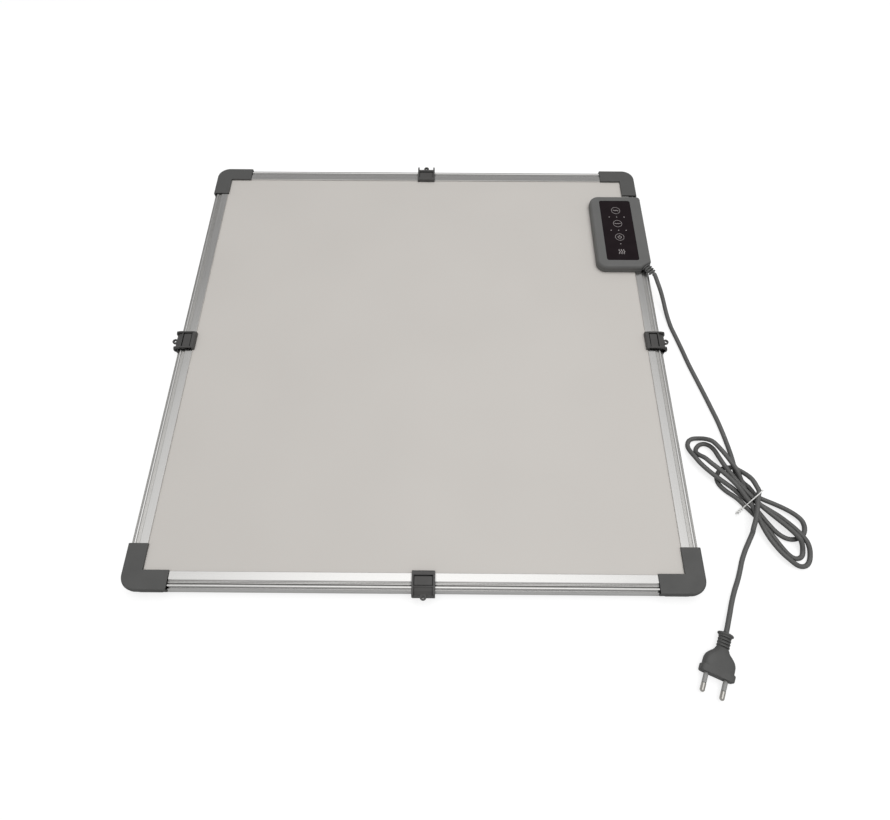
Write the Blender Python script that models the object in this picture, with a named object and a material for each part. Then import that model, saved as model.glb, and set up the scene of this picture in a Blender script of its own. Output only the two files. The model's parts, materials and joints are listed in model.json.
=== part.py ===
"""An under desk heater panel: a flat heated board in an aluminium frame.

The panel lies on a surface with its heated face up. The origin is on that surface, below
the middle of the panel. +X points to the edge with the controller, -Y to the near edge and
+Z up. All lengths are in metres.

The frame has one rail for each side and a moulded cap for each corner. One mounting clip
slides along each rail. The touch controller sits over the right rail, and its mains lead
runs down to the surface, through a tied hank and on to a two-pin plug.
"""
import math

import bmesh
import bpy
import numpy as np
from mathutils import Matrix, Vector

# Driving sizes of the panel
PANEL_WIDTH = 0.600
PANEL_DEPTH = 0.600
CLEARANCE = 0.0003
OVERRUN = 0.004

# Corner caps carry the frame a little above the surface
CAP_FLOOR = 0.0022
CAP_TOP = 0.0014
CAP_SIDE = 0.0020
CAP_REACH = 0.0472
CAP_CORNER_RADIUS = 0.0165
CAP_TOP_ROUND = 0.0026
CAP_FOOT_ROUND = 0.0012
CAP_WALL_LOW = 0.0115
CAP_BASE_SETBACK = 0.010
CAP_SKIRT = 0.0006
TONGUE_LENGTH = 0.018

# Section of a rail. Its "inset" runs from the outer side toward the panel
RAIL_HEIGHT = 0.016
RAIL_FACE = 0.0185
RAIL_WALL = 0.0012
RAIL_LIP = 0.0013
RAIL_WEB_INSET = 0.0104
RAIL_ROUND = 0.0006
RIM_WIDTH = 0.0010
GROOVE_WIDTH = 0.0016
GROOVE_DEPTH = 0.0030
BEAD_WIDTH = 0.0024
BEAD_HEIGHT = 0.0009
BAND_WIDTH = 0.0049
BAND_DROP = 0.0005
FINE_GROOVES = 3
FINE_GROOVE_WIDTH = 0.0007
FINE_GROOVE_DEPTH = 0.0004

# Layers of the panel, from the heated face down
FRONT_SHEET = 0.0008
FILM_THICKNESS = 0.0005
BACK_SHEET = 0.0008
FILM_MARGIN = 0.012
BUSBAR_WIDTH = 0.006
BUSBAR_GAP = 0.001
LEAD_PITCH = 0.012

# Mounting clips
CLIP_LENGTH = 0.024
CLIP_END_WALL = 0.0020
CLIP_PLATE = 0.0024
CLIP_CHAMFER = 0.0010
CLIP_SLOT_DEPTH = 0.0016
CLIP_STRIP = 0.0047
CLIP_STRIP_RISE = 0.0040
CLIP_WALL_RISE = 0.0044
CLIP_SLOT_WIDTH = 0.0012
CLIP_PAD = 0.0097
CLIP_RIB = 0.0012
CLIP_INNER_WALL = 0.0017
CLIP_OUTER_WALL = 0.0036
CLIP_PRONG = 0.0020
CLIP_HOOK_REACH = 0.0034
CLIP_FOOT = 0.0012
CLIP_EAR_DIAMETER = 0.0070
CLIP_EAR_HOLE = 0.0032
CLIP_EAR_HEIGHT = 0.0024
CLIP_EAR_DROP = 0.0050
CLIP_EAR_STANDOFF = 0.0017
CLIP_PLACES = {"near": 0.0105, "right": 0.0060, "far": -0.0010, "left": -0.0016}

# Touch controller
CASE_WIDTH = 0.071
CASE_LENGTH = 0.1265
CASE_HEIGHT = 0.010
CASE_PARTING = 0.0047
CASE_OVERHANG = 0.002
CASE_FAR_GAP = 0.0580
CASE_WALL = 0.0018
CASE_FLOOR = 0.0016
CASE_TOP = 0.0022
CASE_LEFT_RADIUS = 0.012
CASE_RIGHT_RADIUS = 0.005
CASE_CUT_X = 0.0140
CASE_CUT_Y = 0.0098
CASE_CUT_RADIUS = 0.002
CASE_EDGE_DROPS = (0.0044, 0.0018, 0.0006, 0)
CASE_EDGE_INSETS = (0, 0.0005, 0.0016, 0.0034)
LENS_WIDTH = 0.042
LENS_LENGTH = 0.1055
LENS_THICKNESS = 0.0010
LENS_RECESS = 0.0002
LENS_RADIUS = 0.003
LENS_INSET = 0.0128
LENS_MARGIN = 0.0115
PAD_INSET = 0.005

# Inside the controller
BOARD_THICKNESS = 0.0012
BOARD_LEFT_GAP = 0.0099
BOARD_RIGHT_GAP = 0.0171
BOARD_NEAR_GAP = 0.0170
BOARD_FAR_GAP = 0.0135
PILLAR_DIAMETER = 0.0050
BOSS_DIAMETER = 0.0064
SCREW_DIAMETER = 0.0022
SCREW_HEAD = 0.0046
SCREW_HEAD_HEIGHT = 0.0011
SCREW_BITE = 0.0026
LED_SIZE = 0.0016
LED_HEIGHT = 0.0007
LIGHT_HOLE = 0.0032
KEY_PITCH = 0.0240
FIRST_KEY = 0.0178
MARK_DROP = 0.0120
MARK_PITCH = 0.0102
POWER_SWITCH = (0.010, 0.009, 0.0024)
FILTER_CAPACITOR = (0.013, 0.009, 0.0034)
TERMINALS = (0.018, 0.008, 0.0030)
CORE_DIAMETER = 0.0018
SENSOR = (0.004, 0.010, 0.0022)
SENSOR_LEAD = 0.0008

# Strain relief and mains lead
CORD_DIAMETER = 0.0052
RELIEF_ANGLE = math.radians(-55)
RELIEF_WIDTH = 0.0130
RELIEF_HEIGHT = 0.0080
RELIEF_TIP_SHARE = 0.84
RELIEF_LENGTH = 0.0145
RELIEF_RIBS = 4
RELIEF_GROOVE = 0.0014
RELIEF_NECK = (0.0096, 0.0046)
RELIEF_FLANGE = (0.0114, 0.0054)
RELIEF_FLANGE_DEPTH = 0.0020
RELIEF_SIDES = 16
RIB_SHARE = 0.42

# Tied hank of the lead. Its middle is given from the panel's far right corner, and its runs
# lie along HANK_ANGLE
HANK_OFFSET = (0.0720, -0.4965)
HANK_ANGLE = math.radians(-51)
HANK_REACH = 0.092
HANK_HALF_WIDTH = 0.017
STRAND_PITCH = 0.0058
LAYER_STEP = 0.0064
POINTS_PER_LOBE = 12
LOBE_SHAPE_SHARE = 1.5
TIP_SHARE = 0.8
TIE_THICKNESS = 0.0014
TIE_TWISTS = 1.5
TIE_TWIST_LENGTH = 0.009

# Two-pin plug, lying flat on the surface. Its face is given from the same corner
PLUG_OFFSET = (-0.0014, -0.6773)
PLUG_ANGLE = math.radians(-113.8)
PLUG_THICKNESS = 0.0137
PLUG_WIDTH = 0.0330
PLUG_LENGTH = 0.0440
NECK_WIDTH = 0.0128
NECK_HEIGHT = 0.0104
NECK_LENGTH = 0.0160
COLLAR_WIDTH = 0.0160
COLLAR_HEIGHT = 0.0126
NECK_RIBS = 4
NECK_SLOT = 0.0016
NECK_WAIST = 0.0003
NECK_SLOPE_SHARE = 0.12
PIN_SPACING = 0.0192
PIN_DIAMETER = 0.0048
PIN_LENGTH = 0.0190
PIN_SEAT = 0.0060
SLEEVE_LENGTH = 0.0100
SLEEVE_DIAMETER = 0.0045
SLEEVE_BORE = 0.0034

# Heights of what is stacked up, all above the surface
RAIL_BOTTOM = CAP_FLOOR
RAIL_TOP = RAIL_BOTTOM + RAIL_HEIGHT
SLOT_LOW = RAIL_BOTTOM + RAIL_LIP
SLOT_HIGH = RAIL_TOP - RAIL_LIP
SHEET_TOP = SLOT_HIGH - CLEARANCE
SHEET_LOW = SHEET_TOP - FRONT_SHEET
FILM_TOP = SHEET_LOW - CLEARANCE
FILM_LOW = FILM_TOP - FILM_THICKNESS
CORE_TOP = FILM_LOW - CLEARANCE
BACK_LOW = SLOT_LOW + CLEARANCE
BACK_TOP = BACK_LOW + BACK_SHEET
CORE_LOW = BACK_TOP + CLEARANCE
CASE_LOW = RAIL_TOP + CLEARANCE
CASE_PARTING_Z = CASE_LOW + CASE_PARTING
CASE_HIGH = CASE_LOW + CASE_HEIGHT
CASE_INSIDE_LOW = CASE_LOW + CASE_FLOOR
CASE_INSIDE_HIGH = CASE_HIGH - CASE_TOP
BOARD_TOP = CASE_INSIDE_HIGH - CLEARANCE
BOARD_LOW = BOARD_TOP - BOARD_THICKNESS

# Places in plan
PANEL_HALF_X = PANEL_WIDTH / 2 - RAIL_WEB_INSET - CLEARANCE
PANEL_HALF_Y = PANEL_DEPTH / 2 - RAIL_WEB_INSET - CLEARANCE
CASE_RIGHT = PANEL_WIDTH / 2 + CASE_OVERHANG
CASE_LEFT = CASE_RIGHT - CASE_WIDTH
CASE_FAR = PANEL_DEPTH / 2 - CASE_FAR_GAP
CASE_NEAR = CASE_FAR - CASE_LENGTH
BOARD_LEFT = CASE_LEFT + BOARD_LEFT_GAP
BOARD_RIGHT = CASE_RIGHT - BOARD_RIGHT_GAP
BOARD_NEAR = CASE_NEAR + BOARD_NEAR_GAP
BOARD_FAR = CASE_FAR - BOARD_FAR_GAP
LENS_LEFT = CASE_LEFT + LENS_INSET
LENS_NEAR = CASE_NEAR + LENS_MARGIN
LENS_MIDDLE_X = LENS_LEFT + LENS_WIDTH / 2
LENS_FAR = LENS_NEAR + LENS_LENGTH
LIP_START = RIM_WIDTH + GROOVE_WIDTH + BEAD_WIDTH + BAND_WIDTH
RAIL_SETBACK = RAIL_FACE + RAIL_LIP + CLEARANCE

FAR_RIGHT_CORNER = Vector((PANEL_WIDTH / 2, PANEL_DEPTH / 2, 0))
HANK_WAIST = FAR_RIGHT_CORNER.xy + Vector(HANK_OFFSET)
PLUG_FACE = FAR_RIGHT_CORNER.xy + Vector(PLUG_OFFSET)

# Quarter turns that take the near rail, or the near left corner, to each side or corner
SIDES = {"near": 0, "right": 1, "far": 2, "left": 3}
CORNERS = {"near_left": 0, "near_right": 1, "far_right": 2, "far_left": 3}


def clear_scene():
    """Remove whatever the file was opened with."""
    for item in list(bpy.data.objects):
        bpy.data.objects.remove(item, do_unlink=True)


def make_material(name, colour, roughness, metallic=0.0):
    """A Principled material of one finish."""
    finish = bpy.data.materials.new(name)
    finish.use_nodes = True
    shader = finish.node_tree.nodes["Principled BSDF"]
    shader.inputs["Base Color"].default_value = (*colour, 1)
    shader.inputs["Roughness"].default_value = roughness
    shader.inputs["Metallic"].default_value = metallic
    finish.diffuse_color = (*colour, 1)
    return finish


def add_object(name, data, finish, matrix=Matrix(), smooth_angle=None):
    """Put a mesh or curve into the scene as one named piece."""
    piece = bpy.data.objects.new(name, data)
    bpy.context.collection.objects.link(piece)
    piece.matrix_world = matrix
    if not data.materials:
        data.materials.append(finish)
    if smooth_angle is not None:
        data.shade_smooth()
        data.set_sharp_from_angle(angle=smooth_angle)
    return piece


def mesh_from(shape, name):
    """Close a bmesh into a mesh with its faces pointing out."""
    bmesh.ops.recalc_face_normals(shape, faces=shape.faces)
    mesh = bpy.data.meshes.new(name)
    shape.to_mesh(mesh)
    shape.free()
    return mesh


def prism(outline, low, high, name="prism"):
    """An outline in X and Y, pushed up from low to high."""
    shape = bmesh.new()
    corners = [shape.verts.new((x, y, low)) for x, y in outline]
    face = shape.faces.new(corners)
    pushed = bmesh.ops.extrude_face_region(shape, geom=[face])
    risen = [v for v in pushed["geom"] if isinstance(v, bmesh.types.BMVert)]
    bmesh.ops.translate(shape, verts=risen, vec=(0, 0, high - low))
    return mesh_from(shape, name)


def bar(section, start, end, name="bar"):
    """A section in inset and height, pushed along X from start to end."""
    mesh = prism(section, start, end, name)
    mesh.transform(Matrix(((0, 0, 1, 0), (1, 0, 0, 0), (0, 1, 0, 0), (0, 0, 0, 1))))
    return mesh


def block(low, high, name="block"):
    """A box between two corners."""
    outline = ((low[0], low[1]), (high[0], low[1]), (high[0], high[1]), (low[0], high[1]))
    return prism(outline, low[2], high[2], name)


def ring(radius, sides, centre=(0, 0), stretch=1.0):
    """Points round a circle, or round an ellipse when stretched along Y."""
    turns = [2 * math.pi * (k + 0.5) / sides for k in range(sides)]
    return [
        (centre[0] + radius * math.cos(a), centre[1] + radius * stretch * math.sin(a))
        for a in turns
    ]


def rod(x, y, low, high, diameter, sides=12, name="rod"):
    """An upright round rod."""
    return prism(ring(diameter / 2, sides, (x, y)), low, high, name)


def loft(levels, name="loft"):
    """Join outlines of equal point counts, each given as points in space."""
    shape = bmesh.new()
    rows = [[shape.verts.new(point) for point in level] for level in levels]
    count = len(rows[0])
    shape.faces.new(reversed(rows[0]))
    shape.faces.new(rows[-1])
    for lower, upper in zip(rows[:-1], rows[1:]):
        for k in range(count):
            after = (k + 1) % count
            shape.faces.new((lower[k], lower[after], upper[after], upper[k]))
    return mesh_from(shape, name)


def rounded_outline(corners, steps=4):
    """Round each (x, y, radius) corner of an outline with an arc."""
    points = []
    for index, (x, y, radius) in enumerate(corners):
        corner = Vector((x, y))
        before = Vector(corners[index - 1][:2]) - corner
        after = Vector(corners[(index + 1) % len(corners)][:2]) - corner
        if radius <= 0:
            points.append((x, y))
            continue
        half = before.angle(after) / 2
        bisector = (before.normalized() + after.normalized()).normalized()
        centre = corner + bisector * (radius / math.sin(half))
        start = corner + before.normalized() * (radius / math.tan(half)) - centre
        end = corner + after.normalized() * (radius / math.tan(half)) - centre
        turn = start.angle_signed(end)
        for k in range(steps + 1):
            spoke = Matrix.Rotation(-turn * k / steps, 2) @ start
            points.append(tuple(centre + spoke))
    return points


def inset_outline(outline, distance):
    """Move every edge of a convex outline inward by one distance."""
    moved = []
    for index, point in enumerate(outline):
        here = Vector(point)
        back = (here - Vector(outline[index - 1])).normalized()
        ahead = (Vector(outline[(index + 1) % len(outline)]) - here).normalized()
        normal_back = Vector((-back.y, back.x))
        normal_ahead = Vector((-ahead.y, ahead.x))
        bend = 1 + normal_back.dot(normal_ahead)
        moved.append(tuple(here + (normal_back + normal_ahead) * (distance / bend)))
    return moved


def combine(body, cuts=(), joins=(), name="solid"):
    """Join some meshes to a body mesh and cut others out of it."""
    holder = bpy.data.objects.new(name, body)
    bpy.context.collection.objects.link(holder)
    tools = []
    for operation, meshes in (("UNION", joins), ("DIFFERENCE", cuts)):
        for mesh in meshes:
            tool = bpy.data.objects.new(name, mesh)
            bpy.context.collection.objects.link(tool)
            tools.append(tool)
            modifier = holder.modifiers.new(operation.title(), "BOOLEAN")
            modifier.operation = operation
            modifier.object = tool
    bpy.context.view_layer.update()
    graph = bpy.context.evaluated_depsgraph_get()
    solid = bpy.data.meshes.new_from_object(holder.evaluated_get(graph))
    solid.name = name
    for item in [holder, *tools]:
        bpy.data.objects.remove(item, do_unlink=True)
    return solid


def smoothstep(share):
    """Ease from 0 to 1 as share does."""
    held = min(max(share, 0), 1)
    return held * held * (3 - 2 * held)


def side_matrix(side, along=0.0):
    """The frame of one side: X along its rail, Y toward the panel, from the outer side."""
    turns = SIDES[side]
    out = (PANEL_DEPTH if turns % 2 == 0 else PANEL_WIDTH) / 2
    return Matrix.Rotation(turns * math.pi / 2, 4, "Z") @ Matrix.Translation((along, -out, 0))


def rail_section():
    """The outer line of a rail's section, from its lower outer edge round to the same."""
    low, top = RAIL_BOTTOM, RAIL_TOP
    band = top - BAND_DROP
    band_start = LIP_START - BAND_WIDTH
    points = [
        (RAIL_ROUND, low),
        (RAIL_FACE, low),
        (RAIL_FACE, SLOT_LOW),
        (RAIL_WEB_INSET, SLOT_LOW),
        (RAIL_WEB_INSET, SLOT_HIGH),
        (RAIL_FACE, SLOT_HIGH),
        (RAIL_FACE, top - RAIL_ROUND / 2),
        (RAIL_FACE - RAIL_ROUND / 2, top),
        (LIP_START, top),
        (LIP_START - BAND_DROP, band),
    ]
    step = (BAND_WIDTH - BAND_DROP) / FINE_GROOVES
    for k in range(FINE_GROOVES):
        middle = LIP_START - BAND_DROP - step * (k + 0.5)
        points += [
            (middle + FINE_GROOVE_WIDTH / 2, band),
            (middle, band - FINE_GROOVE_DEPTH),
            (middle - FINE_GROOVE_WIDTH / 2, band),
        ]
    bead_base = top - BEAD_HEIGHT
    for k in range(6):
        angle = math.pi * k / 5
        across = BEAD_WIDTH / 2 * (1 + math.cos(angle))
        points.append((band_start - BEAD_WIDTH + across, bead_base + BEAD_HEIGHT * math.sin(angle)))
    points += [
        (RIM_WIDTH + GROOVE_WIDTH, top - GROOVE_DEPTH),
        (RIM_WIDTH, top - GROOVE_DEPTH),
        (RIM_WIDTH, top - RAIL_ROUND / 2),
        (RIM_WIDTH - RAIL_ROUND / 2, top),
        (RAIL_ROUND, top),
        (0, top - RAIL_ROUND),
        (0, low + RAIL_ROUND),
    ]
    return points


def rail_chamber():
    """The hollow inside a rail, which the corner caps' tongues enter."""
    low = RAIL_BOTTOM + RAIL_WALL
    step = RAIL_TOP - GROOVE_DEPTH - RAIL_WALL
    high = SLOT_HIGH
    inner = RIM_WIDTH + GROOVE_WIDTH + RAIL_WALL
    far = RAIL_WEB_INSET - RAIL_WALL
    return ((RAIL_WALL, low), (far, low), (far, high), (inner, high), (inner, step), (RAIL_WALL, step))


def build_rails(finish):
    """One hollow aluminium rail on each side."""
    for side, turns in SIDES.items():
        length = PANEL_WIDTH if turns % 2 == 0 else PANEL_DEPTH
        half = length / 2 - RAIL_SETBACK
        outer = bar(rail_section(), -half, half)
        hollow = bar(rail_chamber(), -half - OVERRUN, half + OVERRUN)
        add_object(f"rail_{side}", combine(outer, cuts=[hollow], name="rail"), finish, side_matrix(side))


def cap_mesh():
    """A corner cap, drawn with the frame's outer corner at the origin and legs along +X and +Y.

    Its outer wall hangs over the rails' upper part only. The base that it stands on is set back
    below the rails.
    """
    inner = RAIL_FACE + CLEARANCE + CAP_SKIRT
    side = -CAP_SIDE
    top = RAIL_TOP + CAP_TOP
    corners = (
        (side, side, CAP_CORNER_RADIUS),
        (CAP_REACH, side, 0),
        (CAP_REACH, inner, 0),
        (inner, inner, 0),
        (inner, CAP_REACH, 0),
        (side, CAP_REACH, 0),
    )
    shape = bmesh.new()
    shape.from_mesh(prism(rounded_outline(corners, 6), CAP_WALL_LOW, top))
    curve_end = side + CAP_CORNER_RADIUS

    def outside(vert):
        """True on the cap's two outer sides and round its corner."""
        x, y = vert.co.x, vert.co.y
        return x < side + CLEARANCE or y < side + CLEARANCE or (x < curve_end and y < curve_end)

    for level, radius, steps in ((top, CAP_TOP_ROUND, 3), (CAP_WALL_LOW, CAP_FOOT_ROUND, 1)):
        edges = [
            e for e in shape.edges
            if all(abs(v.co.z - level) < CLEARANCE and outside(v) for v in e.verts)
        ]
        bmesh.ops.bevel(
            shape, geom=edges, offset=radius, segments=steps, profile=0.5,
            affect="EDGES", material=-1,
        )
    reach = CAP_REACH - CAP_BASE_SETBACK
    base_corners = (
        (0, 0, CAP_CORNER_RADIUS - CAP_SIDE),
        (reach, 0, 0),
        (reach, RAIL_FACE, 0),
        (RAIL_FACE, RAIL_FACE, 0),
        (RAIL_FACE, reach, 0),
        (0, reach, 0),
    )
    base = prism(rounded_outline(base_corners, 6), 0, SLOT_HIGH)
    body = combine(mesh_from(shape, "cap"), joins=[base])
    start = RAIL_SETBACK - CLEARANCE
    end = CAP_REACH + OVERRUN
    low, high = RAIL_BOTTOM - CLEARANCE, RAIL_TOP + CLEARANCE
    seat = RAIL_FACE + CLEARANCE
    pocket = RAIL_WEB_INSET
    beyond = inner + OVERRUN
    cuts = [
        block((start, -CLEARANCE, low), (end, seat, high)),
        block((-CLEARANCE, start, low), (seat, end, high)),
        block((start, pocket, low), (end, beyond, SLOT_HIGH)),
        block((pocket, start, low), (beyond, end, SLOT_HIGH)),
        block((pocket, pocket, SLOT_LOW), (beyond, beyond, SLOT_HIGH)),
    ]
    near = RAIL_WALL + CLEARANCE
    far = RAIL_WEB_INSET - RAIL_WALL - CLEARANCE
    tongue_low = RAIL_BOTTOM + RAIL_WALL + CLEARANCE
    tongue_high = RAIL_TOP - GROOVE_DEPTH - RAIL_WALL - CLEARANCE
    root = start - CAP_SIDE
    tip = start + TONGUE_LENGTH
    tongues = [
        block((root, near, tongue_low), (tip, far, tongue_high)),
        block((near, root, tongue_low), (far, tip, tongue_high)),
    ]
    return combine(combine(body, cuts=cuts), joins=tongues, name="cap")


def build_caps(finish):
    """The four corner caps, all from one mould."""
    mesh = cap_mesh()
    for corner, turns in CORNERS.items():
        x = PANEL_WIDTH / 2 * (-1 if turns in (0, 3) else 1)
        y = PANEL_DEPTH / 2 * (-1 if turns in (0, 1) else 1)
        matrix = Matrix.Translation((x, y, 0)) @ Matrix.Rotation(turns * math.pi / 2, 4, "Z")
        add_object(f"corner_cap_{corner}", mesh, finish, matrix, math.radians(40))


def clip_mesh():
    """A mounting clip in a side's frame, wrapped round the rail, with its middle at X = 0."""
    half = CLIP_LENGTH / 2
    seat = RAIL_TOP + CLEARANCE
    pad = seat + CLIP_PLATE
    strip = RAIL_TOP + CLIP_STRIP_RISE
    wall = RAIL_TOP + CLIP_WALL_RISE
    inner = RAIL_FACE + CLEARANCE + CLIP_INNER_WALL
    strip_end = inner - CLIP_STRIP
    pad_end = strip_end - CLIP_SLOT_WIDTH
    rib_start = pad_end - CLIP_PAD
    shelf_top = rib_start - CLIP_RIB
    slot = pad - CLIP_SLOT_DEPTH
    outer = -CLEARANCE - CLIP_OUTER_WALL
    hook_low = RAIL_BOTTOM - CLEARANCE - CLIP_FOOT
    section = (
        (inner - CLIP_INNER_WALL, SHEET_TOP + CLEARANCE),
        (inner, SHEET_TOP + CLEARANCE),
        (inner, strip - CLIP_CHAMFER),
        (inner - CLIP_CHAMFER, strip),
        (strip_end, strip),
        (strip_end, slot),
        (pad_end, slot),
        (pad_end, pad),
        (rib_start, pad),
        (rib_start, strip),
        (shelf_top, strip),
        (shelf_top, pad),
        (0, seat + CLIP_CHAMFER),
        (outer, RAIL_TOP - CLIP_CHAMFER),
        (outer, hook_low),
        (CLIP_HOOK_REACH, hook_low),
        (CLIP_HOOK_REACH, RAIL_BOTTOM - CLEARANCE),
        (-CLEARANCE, RAIL_BOTTOM - CLEARANCE),
        (-CLEARANCE, seat),
        (inner - CLIP_INNER_WALL, seat),
    )
    spread = outer - CLIP_PRONG
    end_section = (
        (strip_end + CLIP_SLOT_WIDTH, seat),
        (strip_end + CLIP_SLOT_WIDTH, wall),
        (0, wall),
        (outer, wall - CLIP_CHAMFER),
        (spread + CLIP_PRONG / 4, RAIL_TOP),
        (spread, RAIL_TOP - CLIP_EAR_DROP / 2),
        (spread, RAIL_TOP - CLIP_EAR_DROP),
        (outer, RAIL_TOP - CLIP_EAR_DROP - CLIP_EAR_HEIGHT),
        (-CLEARANCE, RAIL_TOP - CLIP_EAR_DROP - CLIP_EAR_HEIGHT),
        (-CLEARANCE, seat),
    )
    ear_top = wall - CLIP_EAR_DROP
    ear_low = ear_top - CLIP_EAR_HEIGHT
    radius = CLIP_EAR_DIAMETER / 2
    centre = (0, outer - CLIP_EAR_STANDOFF)
    ear = prism(ring(radius, 16, centre), ear_low, ear_top)
    web_half = radius - CLIP_RIB / 2
    web = block((-web_half, centre[1], ear_low), (web_half, outer + CLIP_RIB, ear_top))
    hole = rod(*centre, ear_low - OVERRUN, ear_top + OVERRUN, CLIP_EAR_HOLE)
    joins = [
        bar(end_section, -half, -half + CLIP_END_WALL),
        bar(end_section, half - CLIP_END_WALL, half),
        web,
        ear,
    ]
    body = combine(bar(section, -half, half), joins=joins)
    return combine(body, cuts=[hole], name="clip")


def build_clips(finish):
    """One clip on each rail. Each slides along its own X axis."""
    mesh = clip_mesh()
    for side, along in CLIP_PLACES.items():
        add_object(f"clip_{side}", mesh, finish, side_matrix(side, along), math.radians(35))


def lead_places():
    """Where the two heater leads and the sensor leads rise, in plan."""
    x = CASE_LEFT + (BOARD_RIGHT - BOARD_LEFT) / 2
    y = (CASE_NEAR + CASE_FAR + KEY_PITCH) / 2
    pair = ((x - LEAD_PITCH / 2, y), (x + LEAD_PITCH / 2, y))
    return pair, (x, y + LEAD_PITCH)


def busbar_edges():
    """X of the right bar's two edges and of the tab's two edges."""
    pair = lead_places()[0]
    return [(place[0] - BUSBAR_WIDTH / 2, place[0] + BUSBAR_WIDTH / 2) for place in pair]


def build_layers(finishes):
    """Front sheet, heating film, busbars, insulating core and back sheet."""
    half_x, half_y = PANEL_HALF_X, PANEL_HALF_Y
    pair, sensor = lead_places()
    hole = CORE_DIAMETER + BUSBAR_GAP
    holes = [rod(x, y, SHEET_LOW - OVERRUN, SHEET_TOP + OVERRUN, hole, 8) for x, y in (*pair, sensor)]
    sheet = block((-half_x, -half_y, SHEET_LOW), (half_x, half_y, SHEET_TOP))
    add_object("front_sheet", combine(sheet, cuts=holes), finishes["front_coating"])

    right_bar, tab = busbar_edges()
    film_half_y = half_y - FILM_MARGIN - BUSBAR_WIDTH - BUSBAR_GAP
    bar_half_y = film_half_y
    film_left = -half_x + FILM_MARGIN + BUSBAR_WIDTH + CLEARANCE
    film_right = right_bar[0] - CLEARANCE
    film = block((film_left, -film_half_y, FILM_LOW), (film_right, film_half_y, FILM_TOP))
    add_object("heating_film", film, finishes["carbon_film"])

    strip_low = film_half_y + BUSBAR_GAP
    strip_high = strip_low + BUSBAR_WIDTH
    left_low = film_left - CLEARANCE - BUSBAR_WIDTH
    left_high = film_left - CLEARANCE
    tab_end = pair[1][1] - BUSBAR_WIDTH
    return_bar = (
        (left_low, -bar_half_y),
        (left_high, -bar_half_y),
        (left_high, strip_low),
        (tab[0], strip_low),
        (tab[0], tab_end),
        (tab[1], tab_end),
        (tab[1], strip_high),
        (left_low, strip_high),
    )
    straight = block((right_bar[0], -bar_half_y, FILM_LOW), (right_bar[1], bar_half_y, FILM_TOP))
    add_object("busbar_feed", straight, finishes["copper"])
    add_object("busbar_return", prism(return_bar, FILM_LOW, FILM_TOP), finishes["copper"])

    core = block((-half_x, -half_y, CORE_LOW), (half_x, half_y, CORE_TOP))
    room = [size / 2 + CLEARANCE for size in SENSOR[:2]]
    pocket = block(
        (sensor[0] - room[0], sensor[1] - room[1], CORE_TOP - SENSOR[2] - CLEARANCE),
        (sensor[0] + room[0], sensor[1] + room[1], CORE_TOP + OVERRUN),
    )
    add_object("insulation_core", combine(core, cuts=[pocket]), finishes["core_foam"])
    back = block((-half_x, -half_y, BACK_LOW), (half_x, half_y, BACK_TOP))
    add_object("back_sheet", back, finishes["back_coating"])

    body = block(
        (sensor[0] - SENSOR[0] / 2, sensor[1] - SENSOR[1] / 2, CORE_TOP - SENSOR[2]),
        (sensor[0] + SENSOR[0] / 2, sensor[1] + SENSOR[1] / 2, CORE_TOP),
    )
    wires = [
        rod(sensor[0] + offset, sensor[1], CORE_TOP - SENSOR[2] / 2, BOARD_LOW - CLEARANCE, SENSOR_LEAD, 6)
        for offset in (-SENSOR_LEAD, SENSOR_LEAD)
    ]
    add_object("temperature_sensor", combine(body, joins=wires), finishes["lead_sheath"])
    for label, (x, y) in zip(("feed", "return"), pair):
        lead = rod(x, y, FILM_TOP + CLEARANCE, terminal_low() - CLEARANCE, CORE_DIAMETER, 8)
        add_object(f"heater_lead_{label}", lead, finishes["lead_sheath"])


def case_outline():
    """The controller's outline, with its near right corner cut off for the strain relief."""
    return rounded_outline(
        (
            (CASE_LEFT, CASE_NEAR, CASE_LEFT_RADIUS),
            (CASE_RIGHT - CASE_CUT_X, CASE_NEAR, CASE_CUT_RADIUS),
            (CASE_RIGHT, CASE_NEAR + CASE_CUT_Y, CASE_CUT_RADIUS),
            (CASE_RIGHT, CASE_FAR, CASE_RIGHT_RADIUS),
            (CASE_LEFT, CASE_FAR, CASE_LEFT_RADIUS),
        )
    )


def relief_frame():
    """The strain relief's axis: its start at the cut corner's face and its direction."""
    middle_x = CASE_RIGHT - CASE_CUT_X / 2
    middle_y = CASE_NEAR + CASE_CUT_Y / 2
    start = Vector((middle_x, middle_y, CASE_PARTING_Z))
    return start, Vector((math.cos(RELIEF_ANGLE), math.sin(RELIEF_ANGLE), 0))


def relief_ring(distance, width, height):
    """Points of an oval round the relief's axis, at a distance out from the case."""
    start, out = relief_frame()
    across = Vector((-out.y, out.x, 0))
    centre = start + out * distance
    return [
        tuple(centre + across * x + Vector((0, 0, z)))
        for x, z in ring(width / 2, RELIEF_SIDES, stretch=height / width)
    ]


def screw_places():
    """Plan places of the four case screws, near the case's corners."""
    reach = BOSS_DIAMETER / 2 + CASE_WALL
    left = CASE_LEFT + reach + CASE_WALL * 2
    right = CASE_RIGHT - reach - CASE_WALL * 2
    near = CASE_NEAR + reach + CLEARANCE
    far = CASE_FAR - reach - CLEARANCE
    return ((left, near), (right - CASE_CUT_X, near), (left, far), (right, far))


def mark_places():
    """Plan places of the seven indicator lights under the lens."""
    first = LENS_FAR - FIRST_KEY
    rows = [
        (LENS_MIDDLE_X + column * MARK_PITCH, first - row * KEY_PITCH - MARK_DROP)
        for row in (0, 1)
        for column in (-1, 0, 1)
    ]
    return [*rows, (LENS_MIDDLE_X, first - 2 * KEY_PITCH - MARK_DROP)]


def terminal_low():
    """Height of the underside of the terminals that hang below the board."""
    return BOARD_LOW - CLEARANCE - TERMINALS[2]


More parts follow.
